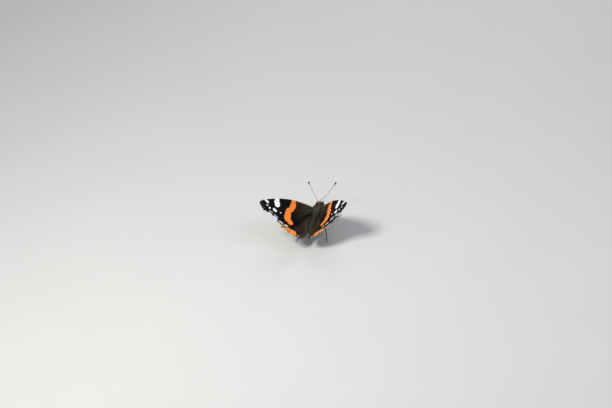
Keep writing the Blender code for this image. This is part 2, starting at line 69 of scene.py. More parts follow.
# A planform has distance out from the hinge, then distance back on a forewing and forward on a hindwing. Its
# pose is rise, sweep and twist in degrees. Its bends are how far it curves up in one span, out and along it.
# The hindwing's soft inner edge reaches a little further in than the solid's, up to the abdomen.
WINGS = {
    "forewing": {
        "slot": "wing_black", "hinge": (2.1, 0, 0), "pose": (43, -28.4, 1.5), "scale": (1, -1),
        "bends": (-1.9, 3.5), "span": 31, "centre": (12, 2), "scallop": 0.16,
        "costa": [
            (-1.6, -1), (0.6, -1.9), (4, -2.9), (9.1, -3.9), (15.4, -4.2), (21.3, -3.8), (26.8, -2.8),
            (29.3, -1.9), (30.6, -0.5),
        ],
        "ends": [
            (30.5, 0.6), (30, 2.1), (29.2, 4.1), (27.3, 4.7), (24.5, 6.5), (22, 9.3), (19.4, 11.6),
            (16.7, 12.9),
        ],
        "inner": [(14.6, 12.1), (11, 9.4), (6, 5.4), (2.4, 2.9), (0.4, 1.9), (-1.6, 1.3)],
        "veins": [
            [(-1.2, -0.6), (3, -1.9), (8, -2.9), (13, -3.7)],
            [(-1.2, 0), (5, -1.5), (10, -2.1), (13.6, -1.7)],
            [(9, -2), (14, -3.1), (18.6, -3.9)],
            [(12, -1.95), (17, -2.8), (22.2, -3.5)],
            [(13.6, -1.7), (19.6, -2), (25.9, -2.8)],
            [(19.6, -2), (25.4, -1.3), (30.5, 0.5)],
            [(22.6, -1.65), (26.6, -0.2), (29.9, 2.1)],
            [(13.8, -1), (20, -0.7), (25.7, 1.2), (29.2, 4)],
            [(13.9, 0.5), (19.6, 1.3), (24, 2.8), (27.1, 4.6)],
            [(13.2, 2.6), (17.4, 3), (21.2, 4.3), (24.3, 6.4)],
            [(11.6, 3.2), (15.6, 4.4), (18.6, 6), (21.8, 9.1)],
            [(8, 2.8), (13, 5.8), (19.2, 11.4)],
            [(-1.2, 0.6), (4, 1.5), (8, 2.8), (11.6, 3.2), (13.2, 2.6)],
            [(13.6, -1.7), (13.95, -0.2), (13.2, 2.6)],
            [(-1.2, 1), (5, 3.7), (11, 8.3), (16.5, 12.7)],
        ],
    },
    "hindwing": {
        "slot": "hindwing_brown", "hinge": (1.95, -3.1, -1.65), "pose": (29.4, -1.6, -1.8),
        "scale": (0.856, 0.925), "bends": (1.58, 2.11), "span": 20, "centre": (9, -8), "scallop": 0.3,
        "costa": [(-1.4, 1), (0.6, 1.6), (3.2, 2.5), (6.4, 2.5), (10.2, 1.3), (14, -0.6), (16.6, -2.1)],
        "ends": [
            (18.6, -3.4), (21, -5.7), (22.1, -8.8), (21.5, -12.2), (19, -16), (15.4, -19.2), (11.1, -21.4),
            (6.6, -22.5), (3.7, -22),
        ],
        "inner": [
            (2, -20.9), (0.45, -18.8), (-0.3, -16.4), (-0.3, -13.4), (0.1, -9.6), (0.05, -6.2), (-0.15, -3.9),
            (-1.4, -1.9),
        ],
        "veins": [
            [(-1, 0.6), (5, 1.6), (10.6, 0.1), (18.3, -3.3)],
            [(-1, 0.1), (3, 0.4), (6.5, 0.1), (9.2, -1)],
            [(6.5, 0.1), (12.6, -1.8), (20.7, -5.6)],
            [(9.2, -1), (15, -4.4), (21.8, -8.7)],
            [(10, -2.8), (15, -6.4), (21.1, -12)],
            [(9.3, -5.2), (13.4, -9.6), (18.7, -15.7)],
            [(8, -5.8), (11.6, -11.6), (15.2, -18.8)],
            [(6, -4.6), (8.9, -12.2), (11, -21)],
            [(-1, -0.5), (3, -2), (6, -4.6), (8, -5.8), (9.3, -5.2)],
            [(9.2, -1), (10, -2.8), (9.3, -5.2)],
            [(-1, -1), (2.6, -5), (5, -13), (6.6, -22.1)],
            [(0.4, -2.6), (2.1, -6.4), (2.5, -13), (3.8, -21.4)],
        ],
    },
}
# Half width of a vein, half thickness at the rim, sag between veins, and the fringe's share inside the rim.
VEIN_WIDTH = 0.17
RIM_RISE = 0.012
MEMBRANE_SAG = 0.07
FRINGE_INSET = 0.48
# Usual gap between vein ends, and the rows of points beside a vein. No other point is as near to a vein, to
# the outline or to its neighbour as the three gaps.
END_GAP = 3.5
VEIN_ROWS = (0, 0.13, -0.13, 0.3, -0.3)
VEIN_GAP = 0.4
OUTLINE_GAP = 0.12
POINT_GAP = 0.09
# Where the hinge is on the planform's UV map, and how much that map holds, in millimetres.
PLAN_CORNER = (3, 26)
PLAN_SPAN = 100

# Markings of the forewing, on its planform.
RED_BAND = [
    (9.3, -4.4), (9.5, -1.6), (10, 0.1), (10.8, 1.2), (11.4, 2), (12, 3), (13.2, 3.6), (13.8, 5.2),
    (14.3, 7), (14.3, 8.6), (13.6, 10), (14, 11), (15, 11.5), (15.9, 11.1), (16.9, 10), (17.8, 8.6),
    (18, 6.5), (17.1, 4.6), (16.1, 2.5), (15.2, 1.3), (13.8, 0.6), (12.7, -1.5), (11.1, -4.4),
]
COSTAL_BAR = [
    (18.9, -4.6), (19.1, -2), (18.9, -0.8), (19.3, 0.6), (20.4, 1.2), (21.4, 1.1), (22, 0.1), (21.8, -0.8),
    (22, -2), (21.2, -3.4), (21, -4.6),
]
APICAL_STREAK = [
    (27, -3.1), (25.9, -2.5), (25.1, -1.5), (25.3, -0.75), (26.1, -0.65), (26.6, -1.5), (27.4, -2.5),
]
# Spots: centre, half length, half width, angle of the long side.
WHITE_SPOTS = [
    ((26.3, 0.5), 0.56, 0.42, 35), ((25.2, 2.05), 0.6, 0.52, 40), ((22.5, 3.15), 1.28, 0.84, -46),
    ((19.5, 4.5), 0.42, 0.36, 0),
]
APEX_MARKS = [[(29, -0.9), (28.9, 0.1)], [(28.8, 0.9), (28.2, 2.1)]]
BLUE_MARKS = [[(25.6, 3.8), (24.2, 4.9)], [(23.3, 6), (21.7, 7.5)]]
BLUE_RING = [(5.6, 0.4), (7, -0.9), (8.6, -0.9), (8.3, 0.9), (7, 1.5), (5.6, 0.4)]

# Markings of the hindwing, on its planform. The band's depths are from the margin, its shares and the
# lengths of its two rounded ends are along it, and it swells in the middle and narrows at the veins.
BAND_DEPTHS = (0.6, 3.45)
BAND_SHARES = (0.42, 0.96)
BAND_ENDS = (0.2, 0.05)
BAND_SWELL = 0.16
BAND_PINCH = 0.1
BAND_DOTS = [(17.1, -14.9), (13.9, -17.6), (10.3, -19.2), (7.3, -20.1)]
ANAL_SPOT = [((4.5, -20.6), 0.9, 0.42, 10)]
# Eyespots of the underside: centre and size.
EYE_RINGS = [
    ((17.9, -8.2), 1.15), ((16.7, -11.6), 0.8), ((14.5, -14.4), 0.95), ((11.7, -16.3), 1.2),
    ((8.5, -17.4), 0.75),
]
PALE_PATCH = [(9.6, 1.6), (9.4, 0.2), (11, -1), (12.8, -1.2), (13.2, -0.2)]

# Torso sections: position along Y, height of the centre, half width, half height.
TORSO = {
    "thorax": [
        (3.7, -1.35, 1.2, 1.2), (3.3, -1.3, 1.6, 1.65), (2.3, -1.2, 2.1, 2.2), (0.7, -1.1, 2.4, 2.5),
        (-1.2, -1.15, 2.4, 2.45), (-2.8, -1.25, 2.1, 2.15), (-3.9, -1.35, 1.6, 1.65),
    ],
    "neck": [(3, -1.35, 1.2, 1.2), (4.9, -1.35, 1.2, 1.15)],
    "head": [
        (4.25, -1.35, 0.8, 0.8), (4.6, -1.35, 1.15, 1.1), (5.1, -1.35, 1.35, 1.3), (5.8, -1.35, 1.3, 1.25),
        (6.35, -1.4, 1, 1), (6.7, -1.45, 0.6, 0.6), (6.85, -1.45, 0.2, 0.2),
    ],
    "waist": [(-3.2, -1.4, 1.2, 1.25), (-5.2, -1.4, 1.3, 1.35)],
}
ABDOMEN_FRONT = -4.6
ABDOMEN_LENGTH = 12
ABDOMEN_RADIUS = 1.85
ABDOMEN_CENTRE = -1.4
ABDOMEN_DROOP = 0.6
ABDOMEN_RINGS = 7
ABDOMEN_GROOVE = 0.17
BODY_SIDES = 32
SECTION_POWER = 2.2
SKIN_VOXEL = 0.085
# How far a tube's end point is from its last ring, in radii.
CAP_REACH = 0.6

# Paths on each side of the body, with a radius at each point.
SHOULDER = (
    [(1.5, 1.4, -0.6), (2.35, 0.2, -0.8), (2.55, -1.8, -1.25), (1.7, -3.6, -1.7)], [0.45, 0.62, 0.66, 0.45],
)
PALP = ([(0.85, 5.1, -2.3), (0.95, 6, -2.95), (0.98, 7.2, -3), (0.95, 8.6, -2)], [0.32, 0.36, 0.3, 0.12])
FORELEG = (
    [(0.95, 2.4, -2.8), (1.35, 3.6, -4.3), (1.5, 5, -4.9), (1.45, 6, -4.1), (1.4, 7.6, -3.3)],
    [0.36, 0.36, 0.3, 0.28, 0.16],
)

# Walking legs: the root in the body frame, then the other joints over the floor.
FOOT_RISE = 0.18
WALKING_LEGS = {
    "midleg": (
        (1, 0.9, -2.9),
        [(2.6, 6.3, 5.6), (5.6, 7.6, 7.2), (7.8, 10, 2.4), (8.3, 10.9, FOOT_RISE), (9.3, 13.8, FOOT_RISE)],
    ),
    "hindleg": (
        (1, -2.4, -2.9),
        [(2.5, 0.6, 4.9), (5.2, -2.4, 6.3), (7.2, -6.8, 2.2), (7.5, -7.8, FOOT_RISE), (8.2, -11, FOOT_RISE)],
    ),
}
LEG_RADII = [0.5, 0.42, 0.28, 0.24, 0.175, 0.15]
# Length of a leg's hair, where its foot is pinched between segments, and the claws' height over the floor.
LEG_HAIR = {"midleg": 0.44, "hindleg": 0.44, "foreleg": 0.72}
FOOT_SEGMENTS = (0, 0.42, 0.62, 0.77, 0.88)
CLAW_CLEARANCE = 0.012

# Eyes: centre, half sizes, and how many rings and sides of faces.
EYE_CENTRE = (1.3, 5.6, -1.1)
EYE_RADII = (0.8, 0.95, 1)
EYE_FACES = (30, 44)

# Feelers: their radius in the socket, then at each share of their reach, up to the club. Pale rings on them.
ANTENNA_SOCKET = (0.4, 5.2, -0.7)
ANTENNA_ROOT = (0.5, 5.75, 0.3)
ANTENNA_REACH = (7.3, 10.45, 4.4)
ANTENNA_BOW = 0.5
ANTENNA_SHARES = (0, 0.2, 0.4, 0.6, 0.76, 0.82, 0.86, 0.90, 0.94, 0.97, 0.99, 1)
ANTENNA_RADII = (0.19, 0.19, 0.15, 0.14, 0.14, 0.15, 0.17, 0.25, 0.38, 0.44, 0.41, 0.31, 0.2)
ANTENNA_RINGS = 42
# Proboscis: a coil that ends at an angle in degrees, with fine ribs.
COIL_CENTRE = (0, 6.75, -3.75)
COIL_INNER = 0.46
COIL_PITCH = 0.41
COIL_TURNS = 3.3
COIL_END = 100
COIL_POINTS = 190
COIL_RIBS = 75
PROBOSCIS_RADIUS = 0.19

# Tints of skin and coat.
THORAX_TINT = (0.054, 0.062, 0.036)
THORAX_DARK = (0.026, 0.022, 0.014)
THORAX_STREAK = (0.18, 0.21, 0.14)
HEAD_TINT = (0.16, 0.08, 0.04)
ABDOMEN_TINT = (0.038, 0.035, 0.021)
BELLY_TINT = (0.19, 0.145, 0.095)
LEG_TINT = (0.10, 0.075, 0.048)
TOE_TINT = (0.23, 0.165, 0.095)
# Body under the coat: height of its axis, where its neck is, and how far from the axis skin has to be at the
# head, thorax or abdomen to be a leg's. Then the rear end, length and half width that its UV map holds.
BODY_AXIS = -1.3
NECK = 4.1
TORSO_REACH = (1.75, 2.75, 2.15)
MAP_REAR = -17
MAP_LENGTH = 27
MAP_HALF = 10
# Where the head's and the abdomen's coats begin, the longest hair, how much thicker the head's coat is, how
# deep a tuft is rooted, in its own length, and the size of its patch on the UV map.
HEAD_START = 3.2
ABDOMEN_START = -4.2
LONGEST_HAIR = 1.4
HEAD_THICKNESS = 1.4
ROOT_DEPTH = 0.03
PATCH = 0.003
# First seed of the wings' hair; the body's starts at 0.
WING_SEED = 10
# Tufts: disorder, blades, faces along a blade, spread, rise, width, and the share of it at the tip.
TUFTS = {
    "wing_hair": (0.25, 2, 4, 0.2, 0.07, 0.014, 0), "fringe_scale": (0.08, 2, 3, 0.12, 0, 0.062, 0.45),
    "body_tuft": (0.35, 3, 4, 0.5, 0.13, 0.026, 0), "leg_tuft": (0.35, 2, 3, 0.35, 0.2, 0.045, 0),
}

# Camera over the floor, on a long lens: its right, the way back to it, its aim and the width that it sees.
VIEW_RIGHT = (0.94718, 0.27402, -0.16663)
VIEW_BACK = (0.31989, -0.77007, 0.55197)
VIEW_AIM = (-5.116, 4.529, 12.372)
VIEW_WIDTH = 311.6
SENSOR_WIDTH = 36
CLIP = (0.05, 20)
# Lamps: degrees round and up, distance and size in metres, share of the main light's power, and colour.
LAMP_AIM = (0, 0, 0.012)
LAMPS = {
    "key": (-35, 58, 0.45, 0.16, 1, (1, 0.96, 0.9)), "fill": (70, 40, 0.5, 0.35, 0.35, (0.9, 0.95, 1)),
    "front": (180, 35, 0.5, 0.3, 0.3, (1, 1, 1)), "low": (10, -60, 0.45, 0.4, 0.6, (1, 1, 1)),
}
# The floor's half width and how far it is under the feet, in metres.
FLOOR_HALF = 1.5
FLOOR_DROP = 0.00002
WORLD_STRENGTH = 0.3


# Small maths on the body frame and on planforms.


def to_floor(points):
    """Body frame to the frame of the floor, in millimetres."""
    return np.asarray(points, float) @ TURN.T + LIFT


def to_world(points):
    """Body frame millimetres to world metres."""
    return to_floor(points) * MM


def to_body(points):
    """Frame of the floor to the body frame, in millimetres."""
    return (np.asarray(points, float) - LIFT) @ TURN


def mirrored(points, side):
    return np.asarray(points, float) * (side, 1, 1)


def unit(vectors):
    vectors = np.asarray(vectors, float)
    return vectors / np.maximum(np.linalg.norm(vectors, axis=-1, keepdims=True), 1e-9)


def ramp(values, low, high):
    """Smooth step from 0 at low to 1 at high."""
    share = np.clip((values - low) / (high - low), 0, 1)
    return share * share * (3 - 2 * share)


def hump(values, width):
    """Soft hump: 1 at zero, and nearly nothing past twice its width."""
    return np.exp(-((values / width) ** 2))


def blend(low, high, share):
    """Mix of two vectors or colours, or arrays of them, by an array of shares."""
    return low * (1 - share[:, None]) + high * share[:, None]


def smooth_path(points, step, closed=False):
    """Catmull-Rom curve through the points, with a point about every step."""
    points = [np.array(point, float) for point in points]
    if closed:
        points = [points[-1], *points, *points[:2]]
    else:
        points = [points[0] * 2 - points[1], *points, points[-1] * 2 - points[-2]]
    path = []
    for before, start, end, after in zip(points, points[1:], points[2:], points[3:]):
        bend, twist = 2 * before - 5 * start + 4 * end - after, 3 * start - before - 3 * end + after
        parts = max(1, round(float(np.linalg.norm(end - start)) / step))
        for t in (k / parts for k in range(parts)):
            path.append(0.5 * (2 * start + (end - before) * t + bend * t**2 + twist * t**3))
    return np.array(path if closed else [*path, points[-2]])


def path_reach(path):
    """Distance travelled along a path at each of its points."""
    return np.concatenate([[0], np.cumsum(np.linalg.norm(np.diff(np.asarray(path, float), axis=0), axis=1))])


def reach_at(path, spots):
    """Distance travelled along a path where it is nearest to each spot."""
    return [path_reach(path)[np.linalg.norm(path - spot, axis=1).argmin()] for spot in spots]


def line_distance(points, line, closed=False):
    """Distance of each point from a line, and the share of the line's length where it is nearest."""
    line = np.asarray([*line, line[0]] if closed else line, float)
    along, reach = np.diff(line, axis=0), path_reach(line)
    lengths = np.linalg.norm(along, axis=1)
    offset = np.asarray(points, float)[:, None] - line[:-1]
    share = np.clip((offset * along).sum(-1) / np.maximum(lengths**2, 1e-12), 0, 1)
    gaps = np.linalg.norm(offset - share[..., None] * along, axis=-1)
    nearest, rows = gaps.argmin(1), np.arange(len(gaps))
    return gaps[rows, nearest], (reach[nearest] + share[rows, nearest] * lengths[nearest]) / reach[-1]


def lines_distance(points, lines):
    return np.min([line_distance(points, line)[0] for line in lines], axis=0)


def spots_distance(points, spots):
    return np.min([np.linalg.norm(points - spot, axis=1) for spot in spots], axis=0)


def inside(points, outline):
    a, b = outline, np.roll(outline, -1, axis=0)
    x, y = points[:, 0, None], points[:, 1, None]
    rise = np.where(np.abs(b[:, 1] - a[:, 1]) < 1e-12, 1e-12, b[:, 1] - a[:, 1])
    crossed = ((a[:, 1] > y) != (b[:, 1] > y)) & (x < (b[:, 0] - a[:, 0]) * (y - a[:, 1]) / rise + a[:, 0])
    return crossed.sum(1) % 2 == 1


def patch_depth(points, outline):
    """How far each point is inside a rounded patch, negative outside it."""
    outline = smooth_path(outline, 0.5, closed=True)
    gap = line_distance(points, outline, closed=True)[0]
    return np.where(inside(points, outline), gap, -gap)


def spot_depth(points, spots):
    """How far each point is inside the nearest of a few oval spots, negative outside them."""
    depths = []
    for centre, length, width, angle in spots:
        sine, cosine = math.sin(math.radians(angle)), math.cos(math.radians(angle))
        x, y = ((points - centre) @ [[cosine, -sine], [sine, cosine]]).T
        depths.append((1 - np.hypot(x / length, y / width)) * min(length, width))
    return np.max(depths, axis=0)


# Wing planforms and surfaces.


def scalloped_margin(wing):
    """Outer margin: it peaks at each vein end and dips inwards between them, most between far ends."""
    ends = np.array(wing["ends"], float)
    margin = [ends[0]]
    for start, end in zip(ends, ends[1:]):
        side = unit([start[1] - end[1], end[0] - start[0]])
        if side @ (np.array(wing["centre"]) - (start + end) / 2) < 0:
            side = -side
        dip = side * wing["scallop"] * np.linalg.norm(end - start) / END_GAP
        margin += [start + (end - start) * 0.3 + dip, start + (end - start) * 0.7 + dip, end]
    return margin


def wing_surface(wing, plan):
    """Middle of the curved wing at points of its planform, in the body frame."""
    flat = plan * wing["scale"]
    bend = flat**2 @ wing["bends"] / wing["span"] ** 2
    rise, sweep, twist = (math.radians(angle) for angle in wing["pose"])
    turn = Matrix.Rotation(-rise, 3, "Y") @ Matrix.Rotation(sweep, 3, "Z") @ Matrix.Rotation(twist, 3, "X")
    return np.column_stack([flat, bend]) @ np.array(turn).T + wing["hinge"]


def wing_edges(wing, fringe_length):
    """A wing's outline, drawn in where its fringe grows, its three edges, and the fringe's share and way."""
    margin = scalloped_margin(wing)
    line = smooth_path([*wing["costa"], *margin, *wing["inner"]], 0.4)
    reach = path_reach(line)
    start, end = reach_at(line, (margin[0], margin[-1]))
    fringe = ramp(reach, start - 2.2, start - 0.4) * (1 - ramp(reach, end + 0.3, end + 1.5))
    outward = sideways(line)
    outward *= np.sign((outward * (line - wing["centre"])).sum())
    drawn = line - outward * (fringe_length * FRINGE_INSET) * fringe[:, None]
    return {
        "costa": drawn[reach <= start], "edge": drawn[(reach >= start) & (reach <= end)],
        "inner": drawn[reach >= end], "outline": drawn, "fringe": fringe, "outward": outward,
    }


def sideways(line):
    """Direction across a line of a planform at each of its points."""
    along = np.gradient(line, axis=0)
    return unit(np.stack([-along[:, 1], along[:, 0]], 1))


def wing_triangles(outline, veins, step):
    """Fine triangles of a planform, with rows of points along every vein for a crisp ridge."""
    lines = [smooth_path(vein, step) for vein in veins]
    rows = [line + sideways(line) * shift for line in lines for shift in VEIN_ROWS]
    (left, low), (right, high) = outline.min(0), outline.max(0)
    x, y = np.meshgrid(np.arange(left, right, step), np.arange(low, high, step * 0.87), indexing="ij")
    x = x + (np.arange(x.shape[1]) % 2) * step / 2
    grid = np.stack([x.ravel(), y.ravel()], 1)
    points = np.concatenate([*rows, grid[lines_distance(grid, lines) > VEIN_GAP]])
    points = points[inside(points, outline)]
    points = points[line_distance(points, outline, closed=True)[0] > OUTLINE_GAP]
    near, keep = set(), []
    for i, spot in enumerate(np.round(points / POINT_GAP).astype(int)):
        if tuple(spot) not in near:
            near.add(tuple(spot))
            keep.append(i)
    points = np.concatenate([outline, points[keep]])
    found = delaunay_2d_cdt([Vector(p) for p in points], [], [list(range(len(outline)))], 1, 0.001)
    return np.array([tuple(p) for p in found[0]]), np.array(found[2])


# Shader and geometry trees.


class Value:
    """A socket that takes part in Python arithmetic; each expression adds its own nodes."""

    def __init__(self, tree, socket):
        self.tree, self.socket = tree, socket

    def of(self, name):
        """Another output of the same node."""
        return Value(self.tree, self.socket.node.outputs[name])

    def maths(self, operation, *others):
        return self.tree.add("ShaderNodeMath", dict(enumerate((self, *others))), operation=operation)

    def __add__(self, other):
        return self.maths("ADD", other)

    def __sub__(self, other):
        return self.maths("SUBTRACT", other)

    def __mul__(self, other):
        return self.maths("MULTIPLY", other)

    def __rsub__(self, other):
        return self * -1 + other

    __radd__ = __add__
    __rmul__ = __mul__

    def step(self, low, high):
        """Share that rises smoothly from 0 at low to 1 at high."""
        inputs = {0: self, "From Min": low, "From Max": high}
        return self.tree.add("ShaderNodeMapRange", inputs, interpolation_type="SMOOTHSTEP")

    def fade(self, low, high):
        """Share that falls smoothly from 1 at low to 0 at high."""
        return 1 - self.step(low, high)

    def mix(self, low, high, how="MIX"):
        """Colour that goes from low to high with this share."""
        return self.tree.mix(self, low, high, how)

    def grey(self):
        return self.tree.add("ShaderNodeCombineColor", dict.fromkeys(range(3), self))

    def scaled(self, factor):
        return self.tree.add("ShaderNodeVectorMath", {0: self, "Scale": factor}, operation="SCALE")

    def stretched(self, scale, turn=0):
        inputs = {"Vector": self, "Scale": scale, "Rotation": (0, 0, math.radians(turn))}
        return self.tree.add("ShaderNodeMapping", inputs)

    def noise(self, scale, detail=3, roughness=0.55, distortion=0):
        inputs = {"Scale": scale, "Detail": detail, "Roughness": roughness, "Distortion": distortion}
        return self.tree.add("ShaderNodeTexNoise", {"Vector": self, **inputs})

    def cells(self, scale, randomness):
        inputs = {"Vector": self, "Scale": scale, "Randomness": randomness}
        return self.tree.add("ShaderNodeTexVoronoi", inputs)

    def bump(self, strength, distance):
        """Normal over this height, with the distance in millimetres."""
        inputs = {"Height": self, "Strength": strength, "Distance": distance * MM}
        return self.tree.add("ShaderNodeBump", inputs)


class Tree:
    """Adds nodes to a shader or geometry tree."""

    def __init__(self, group):
        self.group = group

    def add(self, kind, inputs=None, output=0, **settings):
        node = self.group.nodes.new(kind)
        stops = settings.pop("stops", ())
        for name, value in settings.items():
            setattr(node, name, value)
        for k, (position, colour) in enumerate(stops):
            elements = node.color_ramp.elements
            stop = elements[k] if k < len(elements) else elements.new(1)
            stop.position, stop.color = position, (*colour, 1)
        for name, value in (inputs or {}).items():
            self.feed(node.inputs[name], value)
        return Value(self, node.outputs[output])

    def feed(self, socket, value):
        if isinstance(value, Value):
            self.group.links.new(value.socket, socket)
        else:
            socket.default_value = (*value, 1) if socket.type == "RGBA" and len(value) == 3 else value

    def mix(self, share, low, high, how="MIX"):
        return self.add("ShaderNodeMix", {0: share, 6: low, 7: high}, 2, data_type="RGBA", blend_type=how)


class Finish(Tree):
    """A material made on the Principled shader, whose sockets go by their names in small letters."""

    def __init__(self, name, **constants):
        self.material = bpy.data.materials.new(name)
        self.material.use_nodes = True
        super().__init__(self.material.node_tree)
        shader = self.group.nodes["Principled BSDF"]
        self.sockets = {socket.name.lower().replace(" ", "_"): socket for socket in shader.inputs}
        self.finish(**constants)

    def attribute(self, name, output="Fac"):
        return self.add("ShaderNodeAttribute", output=output, attribute_name=name)

    def place(self):
        """The object's own coordinates, in millimetres."""
        return self.add("ShaderNodeTexCoord", output="Object").scaled(1 / MM)

    def finish(self, **values):
        for name, value in values.items():
            self.feed(self.sockets[name], value)
        return self.material


class WingFace(Finish):
    """Finish of one face of a wing: rows of overlapping scales, and marks with uneven edges."""

    def __init__(self, name, sheen, gloss, wobble, grain):
        super().__init__(name, sheen_weight=sheen, sheen_roughness=0.5, specular_ior_level=gloss)
        self.plan = self.add("ShaderNodeUVMap", uv_map="plan").scaled(PLAN_SPAN)
        scales = self.plan.stretched((9, 13, 1), 12).cells(1, 0.75)
        self.shade = self.add("ShaderNodeSeparateColor", {0: scales.of("Color")})
        self.lift = 1 - scales
        self.wobble = (self.plan.noise(1.3) - 0.5) * wobble + (self.shade - 0.5) * grain
        self.vein = self.attribute("vein")

    def field(self, name, wobble=0):
        """A distance or depth that is stored on the wing's points, made uneven."""
        return self.attribute(name) + self.wobble * wobble if wobble else self.attribute(name)

    def ember(self, scale, deep, bright, *layers):
        """Orange-red of a band: patchy, and darker along the veins."""
        colour = self.plan.noise(scale).step(0.35, 0.7).mix(deep, bright)
        return paint(colour, *layers, (self.vein.fade(0.05, 0.3) * 0.4, (0.62, 0.075, 0.012)))

    def close(self, bright, colour):
        """What all faces share: uneven scales, plainer where the marks are bright, and a fine bump."""
        tone = (self.plan.noise(0.7, 4) * 0.45 + self.shade * 0.45 - 0.44) * (1 - bright * 0.78) + 1
        colour = self.mix(1, colour, tone.grey(), "MULTIPLY")
        height = self.lift * 0.02 + self.plan.noise(2.2, 2) * 0.05 + self.vein.fade(0.05, 0.28) * 0.03
        roughness = 0.78 - self.shade * 0.14
        return self.finish(base_color=colour, roughness=roughness, normal=height.bump(0.55, 0.4))


def paint(colour, *layers):
    """Lays each layer's colour over the ones before it, by its share."""
    for share, over in layers:
        colour = share.mix(colour, over)
    return colour


@cache
def forewing_upper():
    wing = WingFace("forewing_upper_scales", 0.012, 0.06, 0.5, 0.16)
    root, band = wing.field("root"), wing.field("band", 0.6)
    orange, white = band.step(-0.06, 0.2), wing.field("white", 0.35).step(-0.08, 0.12)
    return wing.close(orange.maths("MAXIMUM", white), paint(
        (0.050, 0.039, 0.018),
        (root.step(1, 7.5), (0.019, 0.014, 0.008)),
        (wing.plan.noise(0.45, 2).step(0.52, 0.7) * root.fade(7, 12) * 0.5, (0.060, 0.028, 0.016)),
        (wing.field("costa", 1).fade(0.25, 1.3) * root.fade(8, 11) * 0.75, (0.17, 0.085, 0.038)),
        (wing.field("costa", 0.5).fade(0.12, 0.5) * root.fade(8.4, 9.6) * 0.75, (0.55, 0.46, 0.28)),
        (wing.field("root", 3).step(8.5, 13.5), (0.0034, 0.0032, 0.0036)),
        (band.step(-0.3, 0.12) * 0.45, (0.26, 0.025, 0.005)),
        (orange, wing.ember(1.1, (0.92, 0.215, 0.026), (0.98, 0.345, 0.07))),
        (wing.field("blue", 0.5).step(-0.08, 0.16) * 0.9, (0.72, 0.77, 0.84)),
        (white, (0.92, 0.92, 0.93)),
        (wing.field("edge").fade(0.05, 0.35) * 0.7, (0.012, 0.010, 0.010)),
    ))


@cache
def forewing_under():
    wing = WingFace("forewing_under_scales", 0.03, 0.12, 0.6, 0.2)
    marble = wing.plan.noise(0.55, 5, 0.62, 0.6).step(0.38, 0.62)
    marble = marble.mix((0.10, 0.065, 0.035), (0.27, 0.20, 0.125))
    rosy = wing.field("costa").step(0.6, 4.5).mix((0.86, 0.62, 0.50), (0.80, 0.15, 0.055))
    band, white = wing.field("band", 0.8).step(-0.1, 0.25), wing.field("white", 0.5).step(-0.08, 0.16)
    ring, blue = wing.field("ring", 0.9).step(-0.14, 0.16), wing.field("blue", 0.8).step(-0.1, 0.2)
    return wing.close(band.maths("MAXIMUM", white), paint(
        (0.022, 0.017, 0.016),
        (wing.field("root", 3).step(20.5, 24), marble),
        (wing.field("root").fade(2, 6), (0.09, 0.05, 0.03)),
        (band, rosy),
        (ring.maths("MAXIMUM", blue * 0.8) * 0.85, (0.16, 0.29, 0.52)),
        (white, (0.85, 0.83, 0.80)),
        (wing.field("edge").fade(0.05, 0.4) * 0.7, (0.05, 0.035, 0.022)),
    ))


@cache
def hindwing_upper():
    wing = WingFace("hindwing_upper_scales", 0.012, 0.07, 0.6, 0.2)
    band, blue = wing.field("band", 0.7), wing.field("blue", 0.3)
    orange = band.step(-0.08, 0.22)
    yellow = (wing.field("edge", 1).fade(0.6, 2.4) * 0.6, (1, 0.52, 0.13))
    return wing.close(orange, paint(
        (0.044, 0.036, 0.016),
        (wing.field("root").step(2, 14), (0.018, 0.013, 0.007)),
        (wing.plan.noise(0.4, 2).step(0.5, 0.72) * 0.4, (0.055, 0.028, 0.018)),
        (wing.field("inner").fade(0.6, 3.2) * 0.7, (0.075, 0.055, 0.035)),
        (band.step(-0.4, 0.15) * 0.5, (0.22, 0.025, 0.007)),
        (orange, wing.ember(1, (0.92, 0.225, 0.03), (0.98, 0.37, 0.085), yellow)),
        (wing.field("dots", 0.3).step(-0.1, 0.12), (0.012, 0.010, 0.010)),
        (blue.step(-0.45, -0.2), (0.02, 0.015, 0.02)),
        (blue.step(-0.1, 0.12), (0.52, 0.48, 0.72)),
        (wing.field("edge", 0.2).fade(0.12, 0.4) * (0.8 - orange * 0.45), (0.035, 0.022, 0.014)),
    ))


@cache
def hindwing_under():
    wing = WingFace("hindwing_under_scales", 0.03, 0.12, 0.7, 0.2)
    stops = [
        (0.36, (0.014, 0.010, 0.010)), (0.45, (0.075, 0.048, 0.032)), (0.53, (0.17, 0.115, 0.075)),
        (0.60, (0.055, 0.048, 0.050)), (0.70, (0.30, 0.24, 0.18)),
    ]
    marble = wing.plan.noise(0.75, 5, 0.65, 1.5) * 0.65 + wing.plan.noise(0.16, 3, 0.6, 1.2) * 0.45
    ring, line = wing.field("ring", 0.5), wing.field("edge", 0.3)
    pale = wing.field("pale", 0.8).step(-0.1, 0.3)
    return wing.close(pale, paint(
        wing.add("ShaderNodeValToRGB", {0: marble}, stops=stops),
        (wing.field("root", 5).maths("PINGPONG", 3.1).fade(0.5, 0.9) * 0.65, (0.012, 0.010, 0.011)),
        (ring.fade(0.95, 1.45) * 0.6, (0.12, 0.09, 0.055)),
        (ring.fade(0.6, 0.9) * 0.85, (0.018, 0.015, 0.015)),
        (ring.fade(0.2, 0.5) * 0.7, (0.10, 0.16, 0.20)),
        (pale * 0.85, (0.62, 0.53, 0.40)),
        (wing.field("edge", 0.6).fade(1.3, 2.3) * 0.75, (0.20, 0.155, 0.125)),
        (line.step(0.55, 0.75) * line.fade(1, 1.25) * 0.8, (0.035, 0.030, 0.040)),
        (wing.vein.fade(0.1, 0.35) * 0.4, (0.22, 0.16, 0.10)),
    ))


WING_FACES = {"forewing": (forewing_upper, forewing_under), "hindwing": (hindwing_upper, hindwing_under)}


